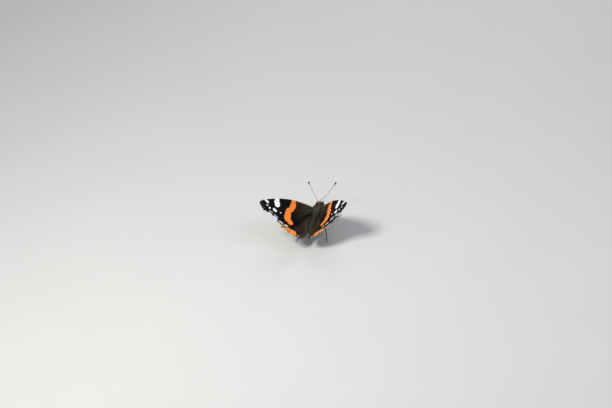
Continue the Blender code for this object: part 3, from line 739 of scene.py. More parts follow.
@cache
def coat_hair():
    """Hair and fringe scales: their own tint, darker at the root and paler at the tip."""
    finish = Finish("coat_hair", roughness=0.6, specular_ior_level=0.2, sheen_weight=0.05)
    along, tint = finish.attribute("along"), finish.attribute("tint", "Color")
    colour = along.step(0, 0.55).mix(finish.mix(0.45, tint, (0.01, 0.008, 0.006)), tint)
    return finish.finish(base_color=(along.step(0.6, 1) * 0.22).mix(colour, (0.36, 0.30, 0.21), "SCREEN"))


@cache
def body_skin():
    """Dark cuticle under the hair, in the coat's own tints, with short flat hair as bump."""
    finish = Finish("body_skin", specular_ior_level=0.3, sheen_weight=0.06, sheen_roughness=0.4)
    place, tint = finish.place(), finish.attribute("tint", "Color")
    streak = place.stretched((7, 1.6, 7)).noise(1, 4, 0.65)
    colour = streak.step(0.3, 0.75).mix(finish.mix(0.6, tint, (0.006, 0.005, 0.004)), tint)
    normal = (streak * 0.07 + place.noise(12, 2) * 0.02).bump(0.7, 0.5)
    return finish.finish(base_color=colour, roughness=0.5 + streak * 0.25, normal=normal)


@cache
def eye_facets():
    finish = Finish("eye_facets", specular_ior_level=0.25, coat_weight=0.1, coat_roughness=0.15)
    place = finish.place()
    facets, band = place.cells(11, 0.35), place.stretched((0.6, 0.6, 1.6)).noise(1.1, 2).step(0.35, 0.7)
    colour = band.mix((0.030, 0.012, 0.007), (0.085, 0.038, 0.018))
    colour = (facets.step(0.3, 0.7) * 0.5).mix(colour, (0.008, 0.005, 0.004))
    normal = (1 - facets).bump(0.5, 0.03)
    return finish.finish(base_color=colour, roughness=0.28 + facets * 0.2, normal=normal)


@cache
def ringed_feeler():
    """Feeler with fine pale rings on black and a pale tip to its club."""
    finish = Finish("ringed_feeler", specular_ior_level=0.4)
    along = finish.attribute("along")
    rings = (along * (2 * ANTENNA_RINGS)).maths("PINGPONG", 1).step(0.52, 0.70)
    colour = paint(
        (0.030, 0.032, 0.028),
        (rings * along.fade(0.8, 0.86), (0.68, 0.70, 0.62)),
        (along.step(0.84, 0.88), (0.012, 0.011, 0.010)),
        (along.step(0.948, 0.966), (0.88, 0.82, 0.66)),
    )
    normal = (rings * 0.03 + finish.place().noise(9, 2) * 0.03).bump(0.6, 0.3)
    return finish.finish(base_color=colour, roughness=0.45 + rings * 0.2, normal=normal)


@cache
def coiled_tongue():
    finish = Finish("coiled_tongue", specular_ior_level=0.5)
    ribs = (finish.attribute("along") * (2 * COIL_RIBS)).maths("PINGPONG", 1)
    colour = (ribs * 0.6).mix((0.012, 0.008, 0.006), (0.060, 0.036, 0.020))
    return finish.finish(base_color=colour, roughness=0.35 + ribs * 0.15, normal=ribs.bump(0.5, 0.05))


def pale_floor():
    finish = Finish("pale_floor", roughness=0.7, specular_ior_level=0.2)
    return finish.finish(base_color=(finish.place().noise(0.02, 2) * 0.03 + 0.62).grey())


# Meshes.


def new_object(name, data):
    thing = bpy.data.objects.new(name, data)
    bpy.context.scene.collection.objects.link(thing)
    return thing


def new_mesh(name, points, faces):
    mesh = bpy.data.meshes.new(name)
    mesh.from_pydata(np.asarray(points).tolist(), [], [list(map(int, face)) for face in faces])
    mesh.update()
    return mesh


def evaluated_mesh(thing):
    """The plain mesh that an object's modifiers make; the object goes."""
    graph = bpy.context.evaluated_depsgraph_get()
    made = thing.evaluated_get(graph)
    mesh = bpy.data.meshes.new_from_object(made, preserve_all_data_layers=True, depsgraph=graph)
    bpy.data.objects.remove(thing)
    return mesh


def carry(piece, nodes=()):
    """Lets a piece ride on the one body and in place of its CAD nodes."""
    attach(piece, "root")
    if nodes:
        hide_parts(*nodes)


def new_piece(name, points, faces, materials, nodes=()):
    """A finished piece, from points in body frame millimetres."""
    piece = new_object(name, new_mesh(name, to_world(points), faces))
    for material in materials:
        piece.data.materials.append(material)
    piece.data.shade_smooth()
    carry(piece, nodes)
    return piece.data


def give(mesh, name, values):
    """Stores a value, a vector or, for a tint, a colour at each point of a mesh."""
    values = np.asarray(values, np.float32)
    kind, key = ("FLOAT", "value") if values.ndim == 1 else ("FLOAT_VECTOR", "vector")
    if name == "tint":
        kind, key = "FLOAT_COLOR", "color"
        values = np.column_stack([values, np.ones(len(values), np.float32)])
    mesh.attributes.new(name, kind, "POINT").data.foreach_set(key, values.ravel())


def forewing_marks(plan):
    white = [patch_depth(plan, COSTAL_BAR), patch_depth(plan, APICAL_STREAK), spot_depth(plan, WHITE_SPOTS)]
    return {
        "band": patch_depth(plan, RED_BAND),
        "white": np.max(white, axis=0),
        "blue": np.maximum(0.24 - lines_distance(plan, BLUE_MARKS), 0.1 - lines_distance(plan, APEX_MARKS)),
        "ring": 0.22 - lines_distance(plan, [smooth_path(BLUE_RING, 0.4)]),
    }


def hindwing_marks(plan, margin, vein):
    gap, share = line_distance(plan, margin)
    (low, high), (start, end) = BAND_DEPTHS, BAND_SHARES
    taper = np.clip(np.minimum((share - start) / BAND_ENDS[0], (end - share) / BAND_ENDS[1]), 0, 1)
    half = (high - low) / 2 * np.sqrt(1 - (1 - taper) ** 2) * (1 + BAND_SWELL * ramp(share, 0.55, 0.88))
    half *= 1 - BAND_PINCH * hump(vein, 0.4)
    beyond = np.maximum(np.maximum(start - share, share - end), 0) * 30
    return {
        "band": half - np.abs(gap - low - half) - beyond,
        "dots": 0.42 - spots_distance(plan, BAND_DOTS),
        "blue": spot_depth(plan, ANAL_SPOT),
        "ring": np.min([spots_distance(plan, [spot]) / size for spot, size in EYE_RINGS], axis=0),
        "pale": patch_depth(plan, PALE_PATCH),
    }


def shell_faces(upper, count):
    """A thin shell's upper faces, its lower ones turned over, and the rim between them."""
    sides = np.concatenate([upper[:, [0, 1]], upper[:, [1, 2]], upper[:, [2, 0]]])
    seen = {tuple(pair) for pair in sides}
    rim = [(b, a, a + count, b + count) for a, b in sides if (b, a) not in seen]
    return [*upper, *(upper[:, ::-1] + count), *rim]


def wing_piece(kind, side, word, settings):
    """One wing: a thin veined membrane, closed at its rim, with its markings as distances on its points.

    Gives the plan, points and faces of its upper side, on which hair grows.
    """
    wing = WINGS[kind]
    edges = wing_edges(wing, settings.fringe_length)
    plan, triangles = wing_triangles(edges["outline"], wing["veins"], settings.wing_step)
    vein = lines_distance(plan, [smooth_path(vein, 0.4) for vein in wing["veins"]])
    rise = settings.membrane / 2 + settings.vein_height * hump(vein, VEIN_WIDTH)
    rise = RIM_RISE + (rise - RIM_RISE) * ramp(line_distance(plan, edges["outline"], closed=True)[0], 0, 0.5)
    middle = wing_surface(wing, plan)
    normal = unit(np.cross(*(wing_surface(wing, plan + shift) - middle for shift in ((0.01, 0), (0, 0.01)))))
    normal *= np.sign(normal[:, 2:])
    middle -= normal * (MEMBRANE_SAG * ramp(vein, 0, 1.4))[:, None]
    lift = normal * rise[:, None]
    a, b, c = (middle[triangles[:, i]] for i in range(3))
    upward = (np.cross(b - a, c - a) * normal[triangles[:, 0]]).sum(1) > 0
    upper = np.where(upward[:, None], triangles, triangles[:, ::-1])
    faces = [face[::side] for face in shell_faces(upper, len(plan))]
    points = mirrored(np.concatenate([middle + lift, middle - lift]), side)
    node, materials = f"{kind}_{word}", [make() for make in WING_FACES[kind]]
    mesh = new_piece(node + "_finish", points, faces, materials, [node])
    index = np.zeros(len(faces), np.int32)
    index[len(upper) : 2 * len(upper)] = 1
    mesh.polygons.foreach_set("material_index", index)
    marks = forewing_marks(plan) if kind == "forewing" else hindwing_marks(plan, edges["edge"], vein)
    marks.update({name: line_distance(plan, edges[name])[0] for name in ("edge", "costa", "inner")})
    for name, values in {**marks, "vein": vein, "root": np.linalg.norm(plan, axis=1)}.items():
        give(mesh, name, np.tile(values, 2))
    corners = np.zeros(len(mesh.loops), int)
    mesh.loops.foreach_get("vertex_index", corners)
    spots = (np.tile(plan, (2, 1)) + PLAN_CORNER) / PLAN_SPAN
    mesh.uv_layers.new(name="plan").data.foreach_set("uv", spots.astype(np.float32)[corners].ravel())
    return plan, mirrored(middle + lift, side), upper[:, ::side]


def ring_faces(rings, sides, points_at_ends=True):
    """Faces round rings of points, closed by one face at each end or by the two points after the rings."""
    pairs = [(i, (i + 1) % sides) for i in range(sides)]
    last, start = (rings - 1) * sides, rings * sides
    faces = [(k + i, k + j, k + sides + j, k + sides + i) for k in range(0, last, sides) for i, j in pairs]
    if not points_at_ends:
        return [*faces, tuple(range(sides))[::-1], tuple(range(last, start))]
    return faces + [face for i, j in pairs for face in ((start, j, i), (start + 1, last + i, last + j))]


def loft(sections):
    """Closed body through its sections."""
    angle = math.tau * np.arange(BODY_SIDES) / BODY_SIDES
    across, up = np.sin(angle), np.cos(angle)
    reach = (np.abs(across) ** SECTION_POWER + np.abs(up) ** SECTION_POWER) ** (-1 / SECTION_POWER)
    points = [
        (half_width * x, y, centre + half_height * z)
        for y, centre, half_width, half_height in sections for x, z in zip(reach * across, reach * up)
    ]
    return points, ring_faces(len(sections), BODY_SIDES, False)


def tube(path, radii, sides=14):
    """Round tube along a path, capped by a point at each end, with the share of its length at each point."""
    path, radii = np.asarray(path, float), np.asarray(radii, float)
    tangent, reach = unit(np.gradient(path, axis=0)), path_reach(path)
    side = np.cross(tangent[0], (0.3, 0.2, 0.93))
    angle = math.tau * np.arange(sides)[:, None] / sides
    points = []
    for centre, along, radius in zip(path, tangent, radii):
        side = unit(side - along * (side @ along))
        points += [*(centre + (side * np.cos(angle) + np.cross(along, side) * np.sin(angle)) * radius)]
    points += [path[0] - tangent[0] * radii[0] * CAP_REACH, path[-1] + tangent[-1] * radii[-1] * CAP_REACH]
    return np.array(points), ring_faces(len(path), sides), [*np.repeat(reach / reach[-1], sides), 0, 1]


def joined(parts):
    """Points and faces of several meshes as one."""
    points, faces = [], []
    for part_points, part_faces in parts:
        faces += [[len(points) + i for i in face] for face in part_faces]
        points += [tuple(point) for point in part_points]
    return points, faces


def radii_along(points, radii, path):
    """Radius at each point of a smoothed path, from the radii at the path's own points."""
    reach, travelled = path_reach(points), path_reach(path)
    return np.interp(travelled / travelled[-1] * reach[-1], reach, radii)


def leg_paths(side):
    """Centre line, radii and joints of each of one side's three legs, in the body frame."""
    legs = {}
    for name, (root, floor_points) in WALKING_LEGS.items():
        joints = np.concatenate([to_floor(mirrored([root], side)), mirrored(floor_points, side)])
        path = smooth_path(joints, 0.09)
        path[:, 2] = np.maximum(path[:, 2], FOOT_RISE)
        radii = leg_shape(path, radii_along(joints, LEG_RADII, path), joints)
        legs[name] = (to_body(path), radii, to_body(joints))
    joints = mirrored(FORELEG[0], side)
    path = smooth_path(joints, 0.3)
    legs["foreleg"] = (path, radii_along(joints, FORELEG[1], path), joints)
    return legs


def leg_shape(path, radii, joints):
    """Narrows a leg at its joints, swells its thigh and beads its foot into five short segments."""
    reach = path_reach(path)
    trochanter, knee, ankle = reach_at(path, joints[1:4])
    radii = radii * (1 - 0.26 * hump(np.minimum(np.abs(reach - trochanter), np.abs(reach - knee)), 0.25))
    radii = radii * (1 + 0.22 * hump(reach - 0.62 * trochanter - 0.38 * knee, 0.95))
    radii = radii * (1 + 0.14 * hump(reach - ankle + 0.35, 0.3))
    for share in FOOT_SEGMENTS:
        radii = radii * (1 - 0.3 * hump(reach - ankle - (reach[-1] - ankle) * share, 0.11))
    return radii


def leg_thorns(path, radii, joints):
    """Two claws at a toe, two spurs at the ankle and two rows of spines down the shin and the foot."""
    reach, onward = path_reach(path), unit(np.gradient(path, axis=0))
    knee, ankle = reach_at(path, joints[2:4])
    up, toe = TURN[2], onward[-1]
    thorns = []
    for way in (-1, 1):
        across = unit(np.cross(toe, up)) * way
        tip = path[-1] + across * 0.06 - toe * 0.05
        hook = tip + toe * 0.2 + across * 0.06 + up * 0.05
        claw = [tip, hook, tip + toe * 0.38 + across * 0.12 - up * 0.06]
        thorns.append((smooth_path(claw, 0.06), 0.055, 0.012))
        k = int(np.abs(reach - ankle + 0.1).argmin())
        root = path[k] + (across + unit(np.cross(across, onward[k])) * way * 0.3) * radii[k] * 0.5
        spur = [root, root + onward[k] * 0.3 + across * 0.16, root + onward[k] * 0.62 + across * 0.22]
        thorns.append((spur, 0.045, 0.01))
        for place in np.arange(knee + 0.5, reach[-1] - 0.25, 0.36):
            k = int(np.abs(reach - place).argmin())
            across = unit(np.cross(onward[k], up)) * way
            low = unit(np.cross(across, onward[k]))
            low *= -np.sign(low @ up)
            root = path[k] + unit(across * 0.8 + low * 0.6) * radii[k] * 0.8
            out = unit(across * 0.8 + low * 0.35 + onward[k] * 0.9)
            thorns.append(([root, root + out * 0.15, root + out * 0.3], 0.028, 0.006))
    return [(line, np.linspace(wide, thin, len(line))) for line, wide, thin in thorns]


def abdomen_sections():
    """Sections of the abdomen, which is grooved between its rings."""
    share = np.linspace(0, 1, ABDOMEN_RINGS * 8 + 1)
    phase = share * ABDOMEN_RINGS % 1
    groove = ABDOMEN_GROOVE * hump(np.minimum(phase, 1 - phase), 0.13)
    groove[[0, -1]] = 0
    radius = np.maximum(0.25, ABDOMEN_RADIUS * np.sin(math.pi * (0.22 + 0.75 * share)) ** 0.75 - groove)
    centre = ABDOMEN_CENTRE - ABDOMEN_DROOP * share**2
    return np.stack([ABDOMEN_FRONT - ABDOMEN_LENGTH * share, centre, radius, radius * 1.03], 1)


def body_parts():
    """Overlapping parts of the body, its legs with the length of their hair, and its nodes."""
    parts = [loft(sections) for sections in (*TORSO.values(), abdomen_sections())]
    legs, nodes = [], ["thorax", "head", "abdomen"]
    for side, word in SIDES:
        for name, (path, radii, _) in leg_paths(side).items():
            parts.append(tube(path, radii)[:2])
            legs.append((path, LEG_HAIR[name]))
            nodes.append(name + "_" + word)
        for joints, widths in (PALP, SHOULDER):
            joints = mirrored(joints, side)
            path = smooth_path(joints, 0.3)
            parts.append(tube(path, radii_along(joints, widths, path))[:2])
        nodes.append("palp_" + word)
    return parts, legs, nodes


def skin_mesh(parts):
    """One closed skin round overlapping parts, in body frame millimetres."""
    shape = new_object("body_parts", new_mesh("body_parts", *joined(parts)))
    wrap = shape.modifiers.new("wrap", "REMESH")
    wrap.mode, wrap.voxel_size = "VOXEL", SKIN_VOXEL
    ease = shape.modifiers.new("ease", "SMOOTH")
    ease.factor, ease.iterations = 0.5, 3
    return evaluated_mesh(shape)


def nearest_leg(points, legs):
    """Gap to the nearest leg, share down it, length of its hair and way down it, for each point."""
    nearest = np.tile((9.0, 0, 0, 0, 0, 0), (len(points), 1))
    for path, hair in legs:
        path = path[::3]
        gap, share = line_distance(points, path)
        onward = unit(np.gradient(path, axis=0))[(share * (len(path) - 1)).astype(int)]
        found = np.column_stack([gap, share, np.full(len(gap), hair), onward])
        nearest = np.where((gap - 0.1 < nearest[:, 0])[:, None], found, nearest)
    return (*nearest.T[:3], nearest[:, 3:])


def body_tint(points, head, tail, leg, below, leg_share):
    """Colour of the body's hair at points of the skin, from how far each belongs to each part."""
    x, y, z = points.T
    patchy = 0.5 + 0.5 * np.sin(x * 2.3 + np.sin(y * 1.7) * 1.3) * np.sin(y * 2.9 + x)
    streak = hump(np.abs(x) - 0.95, 0.28) * ramp(y, -2.6, -0.6) * (1 - ramp(y, 2.2, 3.2)) * ramp(z, 0.2, 0.8)
    rings = 0.5 + 0.5 * np.cos((y - ABDOMEN_FRONT) / ABDOMEN_LENGTH * math.tau * ABDOMEN_RINGS)
    tint = blend(THORAX_DARK, THORAX_TINT, patchy * 0.8 + 0.2 * ramp(z, -1, 1))
    for share, over in (
        (streak * 0.6, THORAX_STREAK), (head, HEAD_TINT), (tail, ABDOMEN_TINT),
        (tail * rings * 0.6, np.array(ABDOMEN_TINT) * 1.8), (below * (1 - leg) * 0.75, BELLY_TINT),
        (leg, blend(LEG_TINT, TOE_TINT, ramp(leg_share, 0.3, 0.75))),
    ):
        tint = blend(tint, over, share)
    return tint


def body_place(points, leg, leg_share):
    """Place of the body's hair on its UV map: round and along the torso, and above that down the legs."""
    x, y, z = points.T
    turn = np.arctan2(x, BODY_AXIS - z) / math.tau + 0.5
    torso = np.stack([turn * 0.96 + 0.02, 0.05 + 0.6 * (y - MAP_REAR) / MAP_LENGTH], 1)
    legs = np.stack([0.03 + 0.94 * leg_share, 0.72 + 0.25 * np.clip((x / MAP_HALF + 1) / 2, 0, 1)], 1)
    return np.where(leg[:, None] > 0.5, legs, torso)


def body_coat(points, normals, legs):
    """Tint, lie and length of the coat at points of the skin, their place on its UV map, and its covers."""
    leg_gap, leg_share, leg_hair, leg_lie = nearest_leg(points, legs)
    x, y, z = points.T
    height = z - BODY_AXIS
    at_head, at_thorax, at_abdomen = TORSO_REACH
    reach = np.where(y > NECK, at_head, np.where(y > ABDOMEN_START, at_thorax, at_abdomen))
    leg = ramp(np.hypot(x, height), reach - 0.1, reach + 0.35) * (leg_gap < 0.8)
    head, tail = ramp(y, NECK - 0.8, NECK) * (1 - leg), ramp(-y, 3.6, 4.8) * (1 - leg)
    below = ramp(-normals[:, 2], -0.1, 0.7)
    one = np.ones(len(x))
    back, fan = np.stack([x * 0.12, -one, height * 0.12], 1), np.stack([x * 0.5, one * 0.35, one * 0.45], 1)
    lie = unit(blend(blend(back, fan, head), leg_lie, leg))
    length = LONGEST_HAIR - 0.3 * head - 0.35 * ramp(y, 4.6, 5.3) - 0.6 * tail
    length = np.where(y > 5.9, 0.5, length - 0.25 * below)
    walker = leg_hair < LEG_HAIR["foreleg"]
    length = length * (1 - leg) + leg * leg_hair * (1 - 0.42 * ramp(leg_share, 0.3, 0.7) * walker)
    floor_gap = to_floor(points)[:, 2]
    clear = ramp(floor_gap, 0.12, 0.24) * ramp(floor_gap + (lie @ TURN.T)[:, 2] * length * 1.3, 0.03, 0.12)
    walking, front, rear = leg * walker, y > HEAD_START, y < ABDOMEN_START
    covers = {"thorax": ~front & ~rear, "head": front, "abdomen": rear}
    covers = {part: (1 - walking) * cover for part, cover in covers.items()}
    tint = body_tint(points, head, tail, leg, below, leg_share)
    fields = {"tint": tint, "lie": lie, "coat": length, "place": body_place(points, leg, leg_share)}
    return fields, {**covers, "leg": walking * clear}


def hair_tuft(name, blades, steps, spread, rise, width, tip):
    """A few bent blades from one root: they rise off the skin, then lie over along X. One unit long."""
    rng = np.random.default_rng(len(name))
    points, faces, along, across = [], [], [], []
    for _ in range(blades):
        turn = rng.uniform(-spread, spread)
        tilt = rise * rng.uniform(0.6, 1.3)
        reach = rng.uniform(0.75, 1.0)
        start = rng.uniform(-0.09, 0.09, 2)
        faces += [(a, a + 2, a + 3, a + 1) for a in range(len(points), len(points) + 2 * steps, 2)]
        for share in (k / steps for k in range(steps + 1)):
            half = width * (1 - (1 - tip) * share**1.6) * (0.75 + 0.5 * share)
            for edge in (-half, half):
                x = reach * share * math.cos(turn) - edge * math.sin(turn) + start[0]
                y = reach * share * math.sin(turn) + edge * math.cos(turn) + start[1]
                points.append((x, y, tilt * math.sin(share * 2.2) - ROOT_DEPTH))
                along.append(share)
                across.append(0.5 + 0.5 * edge / width)
    tuft = new_object(name, new_mesh(name, points, faces))
    give(tuft.data, "along", along)
    give(tuft.data, "across", across)
    return tuft


def coat_tree():
    """Geometry nodes that plant one tuft at each of many places on a skin, along the coat's lie."""
    group = bpy.data.node_groups.new("coat", "GeometryNodeTree")
    for label, kind in (
        ("Skin", "Geometry"), ("Tuft", "Object"), ("Density", "Float"), ("Seed", "Int"), ("Length", "Float"),
        ("Disorder", "Float"), ("Coat", "Geometry"),
    ):
        way = "OUTPUT" if label == "Coat" else "INPUT"
        group.interface.new_socket(label, in_out=way, socket_type="NodeSocket" + kind)
    tree = Tree(group)
    given = tree.add("NodeGroupInput")
    disorder = given.of("Disorder")

    def stored(label, kind="FLOAT"):
        return tree.add("GeometryNodeInputNamedAttribute", {"Name": label}, data_type=kind)

    def store(geometry, label, value, kind, domain):
        inputs = {"Geometry": geometry, "Name": label, "Value": value}
        return tree.add("GeometryNodeStoreNamedAttribute", inputs, data_type=kind, domain=domain)

    def aligned(axis, inputs, pivot="AUTO"):
        return tree.add("FunctionNodeAlignRotationToVector", inputs, axis=axis, pivot_axis=pivot)

    def draw(low, high, seed):
        inputs = {"Min": low, "Max": high, "Seed": seed}
        return tree.add("FunctionNodeRandomValue", inputs, "Value", data_type="FLOAT")

    density = given.of("Density") * stored("cover")
    spread = tree.add(
        "GeometryNodeDistributePointsOnFaces", {"Mesh": given, "Density": density, "Seed": given.of("Seed")}
    )
    upright = aligned("Z", {"Vector": spread.of("Normal")})
    laid = aligned("X", {"Rotation": upright, "Vector": stored("lie", "FLOAT_VECTOR")}, "Z")
    turn = {0: draw(-0.5, 0.5, 3) * disorder, 1: draw(-0.35, 0.2, 4) * disorder, 2: draw(-1, 1, 5) * disorder}
    turn = {"Rotation": laid, "Rotate By": tree.add("ShaderNodeCombineXYZ", turn)}
    planted = tree.add("GeometryNodeInstanceOnPoints", {
        "Points": store(spread, "root_place", stored("place", "FLOAT_VECTOR"), "FLOAT_VECTOR", "POINT"),
        "Instance": tree.add("GeometryNodeObjectInfo", {"Object": given.of("Tuft")}, "Geometry"),
        "Rotation": tree.add("FunctionNodeRotateRotation", turn, rotation_space="LOCAL"),
        "Scale": stored("coat") * draw(0.65, 1.25, 6) * given.of("Length"),
    })
    real = tree.add("GeometryNodeRealizeInstances", {"Geometry": planted})
    patch = tree.add("ShaderNodeCombineXYZ", {0: stored("along") * PATCH, 1: stored("across") * PATCH})
    spot = {0: stored("root_place", "FLOAT_VECTOR"), 1: patch}
    spot = tree.add("ShaderNodeVectorMath", spot, operation="ADD")
    mapped = store(real, "OFBake", spot, "FLOAT2", "CORNER")
    painted = tree.add("GeometryNodeSetMaterial", {"Geometry": mapped, "Material": coat_hair()})
    group.links.new(painted.socket, group.nodes.new("NodeGroupOutput").inputs["Coat"])
    return group


def grow_coat(name, host, kind, density, length, seed):
    """Plants a coat of one kind of tuft on a host mesh and keeps it as a plain mesh piece."""
    disorder, *shape = TUFTS[kind]
    tuft = hair_tuft(kind, *shape)
    carrier = new_object(name + "_carrier", host)
    grow = carrier.modifiers.new("coat", "NODES")
    grow.node_group = bpy.data.node_groups.get("coat") or coat_tree()
    inputs = {
        "Tuft": tuft, "Density": density / MM**2, "Seed": seed, "Length": length * MM, "Disorder": disorder,
    }
    for item in grow.node_group.interface.items_tree:
        if item.name in inputs:
            grow[item.identifier] = inputs[item.name]
    mesh = evaluated_mesh(carrier)
    mesh.name = name
    carry(new_object(name, mesh))
    bpy.data.objects.remove(tuft)


def host_mesh(points, faces, fields):
    """A carrier for a coat, in world metres, with its fields stored on its points."""
    mesh = new_mesh("coat_host", to_world(points), faces)
    place = np.column_stack([fields["place"], np.zeros(len(points))])
    fields = {**fields, "lie": unit(fields["lie"]) @ TURN.T, "place": place}
    for name in ("tint", "lie", "coat", "cover", "place"):
        give(mesh, name, fields[name])
    return mesh


def wing_hair_fields(kind, side, plan):
    """Long hair over the roots of the wings and along the hindwing's inner part."""
    wing, root = WINGS[kind], np.linalg.norm(plan, axis=1)
    x, y = plan.T
    patchy = 0.5 + 0.5 * np.sin(x * 1.7) * np.sin(y * 2.3)
    tint = blend((0.030, 0.022, 0.013), (0.070, 0.054, 0.030), patchy)
    cover, length = 1 - ramp(root, 1.5, 7.5), 2.1 - 1.2 * ramp(root, 1, 7)
    inner, costa = (line_distance(plan, smooth_path(wing[edge], 0.5))[0] for edge in ("inner", "costa"))
    if kind == "forewing":
        onward = np.array((0.9, 0.25))
        tint = blend(tint, (0.26, 0.088, 0.036), (1 - ramp(costa, 0.4, 1.8)) * patchy * 0.9)
        cover *= ramp(costa, 0.3, 0.8)
    else:
        onward = blend((0.1, -0.9), (-0.5, -0.75), 1 - ramp(inner, 0.2, 1.4))
        fold = 1 - ramp(inner, 0.8, 3.4)
        tint = blend(tint, (0.070, 0.054, 0.036), fold * 0.6)
        cover = np.maximum(cover, fold) * ramp(costa, 0.8, 2.4)
        length += (0.85 - length) * fold * ramp(root, 2, 6)
    lie = mirrored(wing_surface(wing, plan + onward) - wing_surface(wing, plan), side)
    turn = 0.0 if kind == "forewing" else 0.5
    place = np.stack([0.02 + 0.46 * (x + 2) / 34 + turn, 0.05 + 0.9 * (y + 24) / 40], 1)
    return {"tint": tint, "lie": lie, "coat": length, "cover": np.where(x < -0.6, 0, cover), "place": place}


def fringe_host(kind, side, length):
    """A narrow ribbon inside the outer margin, from which the fringe scales point outwards."""
    wing = WINGS[kind]
    edges = wing_edges(wing, length)
    keep = edges["fringe"] > 0.02
    margin, outward, grown = (edges[name][keep] for name in ("outline", "outward", "fringe"))
    count = len(margin)
    plan = np.concatenate([margin - outward * 0.22, margin + outward * 0.03])
    points, ahead = (
        mirrored(wing_surface(wing, spots), side) for spots in (plan, plan + np.tile(outward, (2, 1)) * 0.5)
    )
    faces = [(i, i + 1, i + 1 + count, i + count) for i in range(count - 1)]
    gap = spots_distance(plan, wing["ends"])
    share = np.tile(path_reach(margin) / path_reach(margin)[-1], 2)
    if kind == "forewing":
        dark = 0.38 + 0.27 * ramp(share, 0.2, 0.45)
        pale = ramp(gap, dark, dark + 0.2) * (1 - ramp(share, 0.92, 0.95))
        pale *= 0.75 + 0.25 * ramp(share, 0.28, 0.45)
        tint = blend((0.015, 0.013, 0.012), (0.88, 0.90, 0.93), pale)
    else:
        pale = ramp(gap, 0.45, 0.72) * ramp(share, 0.03, 0.09) * (1 - ramp(share, 0.9, 0.95))
        tint = blend((0.045, 0.028, 0.018), (0.86, 0.80, 0.68), pale)
    reach = length * (0.15 + 0.85 * np.tile(grown, 2)) * (0.66 + 0.34 * ramp(gap, 0.2, 0.75))
    place = np.stack([0.03 + 0.94 * share, np.repeat([0.3, 0.32], count)], 1)
    return host_mesh(points, faces, {
        "tint": tint, "lie": ahead - points, "coat": reach * (0.7 + 0.3 * ramp(share, 0.1, 0.2)),
        "cover": np.tile(ramp(grown, 0.02, 0.3), 2), "place": place,
    })


def antenna_path(side):
    """Nearly straight feeler that bows a little outwards and ends in a club."""
    shares, reach = np.array(ANTENNA_SHARES), np.array(ANTENNA_REACH)
    bow = unit([-reach[2], 0, reach[0]]) * ANTENNA_BOW
    points = ANTENNA_ROOT + reach * shares[:, None] - bow * np.sin(math.pi * shares)[:, None]
    points = mirrored([ANTENNA_SOCKET, *points], side)
    path = smooth_path(points, 0.1)
    return path, radii_along(points, ANTENNA_RADII, path)


def tongue_path():
    share = np.linspace(0, 1, COIL_POINTS)
    turn = math.tau * COIL_TURNS * (share - 1) + math.radians(COIL_END)
    radius = COIL_INNER + COIL_PITCH * COIL_TURNS * share
    return np.stack([0 * share, radius * np.cos(turn), radius * np.sin(turn)], 1) + COIL_CENTRE


# Stage.


def set_floor():
    corners = [(x * FLOOR_HALF, y * FLOOR_HALF, 0) for x, y in ((-1, -1), (1, -1), (1, 1), (-1, 1))]
    floor = new_object("floor", new_mesh("floor", corners, [(0, 1, 2, 3)]))
    floor.location.z = -FLOOR_DROP
    floor.data.materials.append(pale_floor())


def set_lights(scene):
    settings = scene.butterfly_stage
    for name, (azimuth, elevation, distance, size, power, colour) in LAMPS.items():
        light = bpy.data.lights.new(name, "AREA")
        light.shape, light.size, light.color, light.energy = "DISK", size, colour, settings.key_power * power
        lamp = new_object(name, light)
        a, e = math.radians(azimuth), math.radians(elevation)
        back = Vector((math.sin(a) * math.cos(e), -math.cos(a) * math.cos(e), math.sin(e)))
        lamp.location = Vector(LAMP_AIM) + back * distance
        lamp.rotation_euler = back.to_track_quat("Z", "Y").to_euler()
        lamp.visible_camera = False
    scene.world = bpy.data.worlds.new("studio")
    scene.world.use_nodes = True
    sky = scene.world.node_tree.nodes["Background"].inputs
    sky["Color"].default_value, sky["Strength"].default_value = (*settings.backdrop, 1), WORLD_STRENGTH
    scene.view_settings.view_transform = "Standard"


def set_camera(scene):
    back = unit(VIEW_BACK)
    right = unit(np.array(VIEW_RIGHT) - back * (back @ VIEW_RIGHT))
    axes = Matrix(np.stack([right, np.cross(back, right), back], 1).tolist())
    data = bpy.data.cameras.new("camera")
    data.lens, data.sensor_width = scene.butterfly_stage.lens, SENSOR_WIDTH
    data.clip_start, data.clip_end = CLIP
    spot = (VIEW_AIM + back * VIEW_WIDTH * data.lens / SENSOR_WIDTH) * MM
    scene.camera = new_object("camera", data)
    scene.camera.matrix_world = Matrix.Translation(Vector(spot)) @ axes.to_4x4()


# Settings and operators.


class WingSettings(bpy.types.PropertyGroup):
    """Sizes of the wings, in millimetres."""

    membrane: FloatProperty(
        name="Membrane", description="Thickness of the wing between its veins, in millimetres",
        default=0.13, min=0.05, max=0.5,
    )
    vein_height: FloatProperty(
        name="Vein height", description="Height of the veins over the membrane, in millimetres",
        default=0.11, min=0.0, max=0.2,
    )
    wing_step: FloatProperty(
        name="Mesh step", description="Distance between the points of a wing, in millimetres",
        default=0.36, min=0.2, max=1.0,
    )
    fringe_length: FloatProperty(
        name="Fringe length", description="Length of the scales along the outer margin, in millimetres",
        default=0.74, min=0.2, max=1.5,
    )


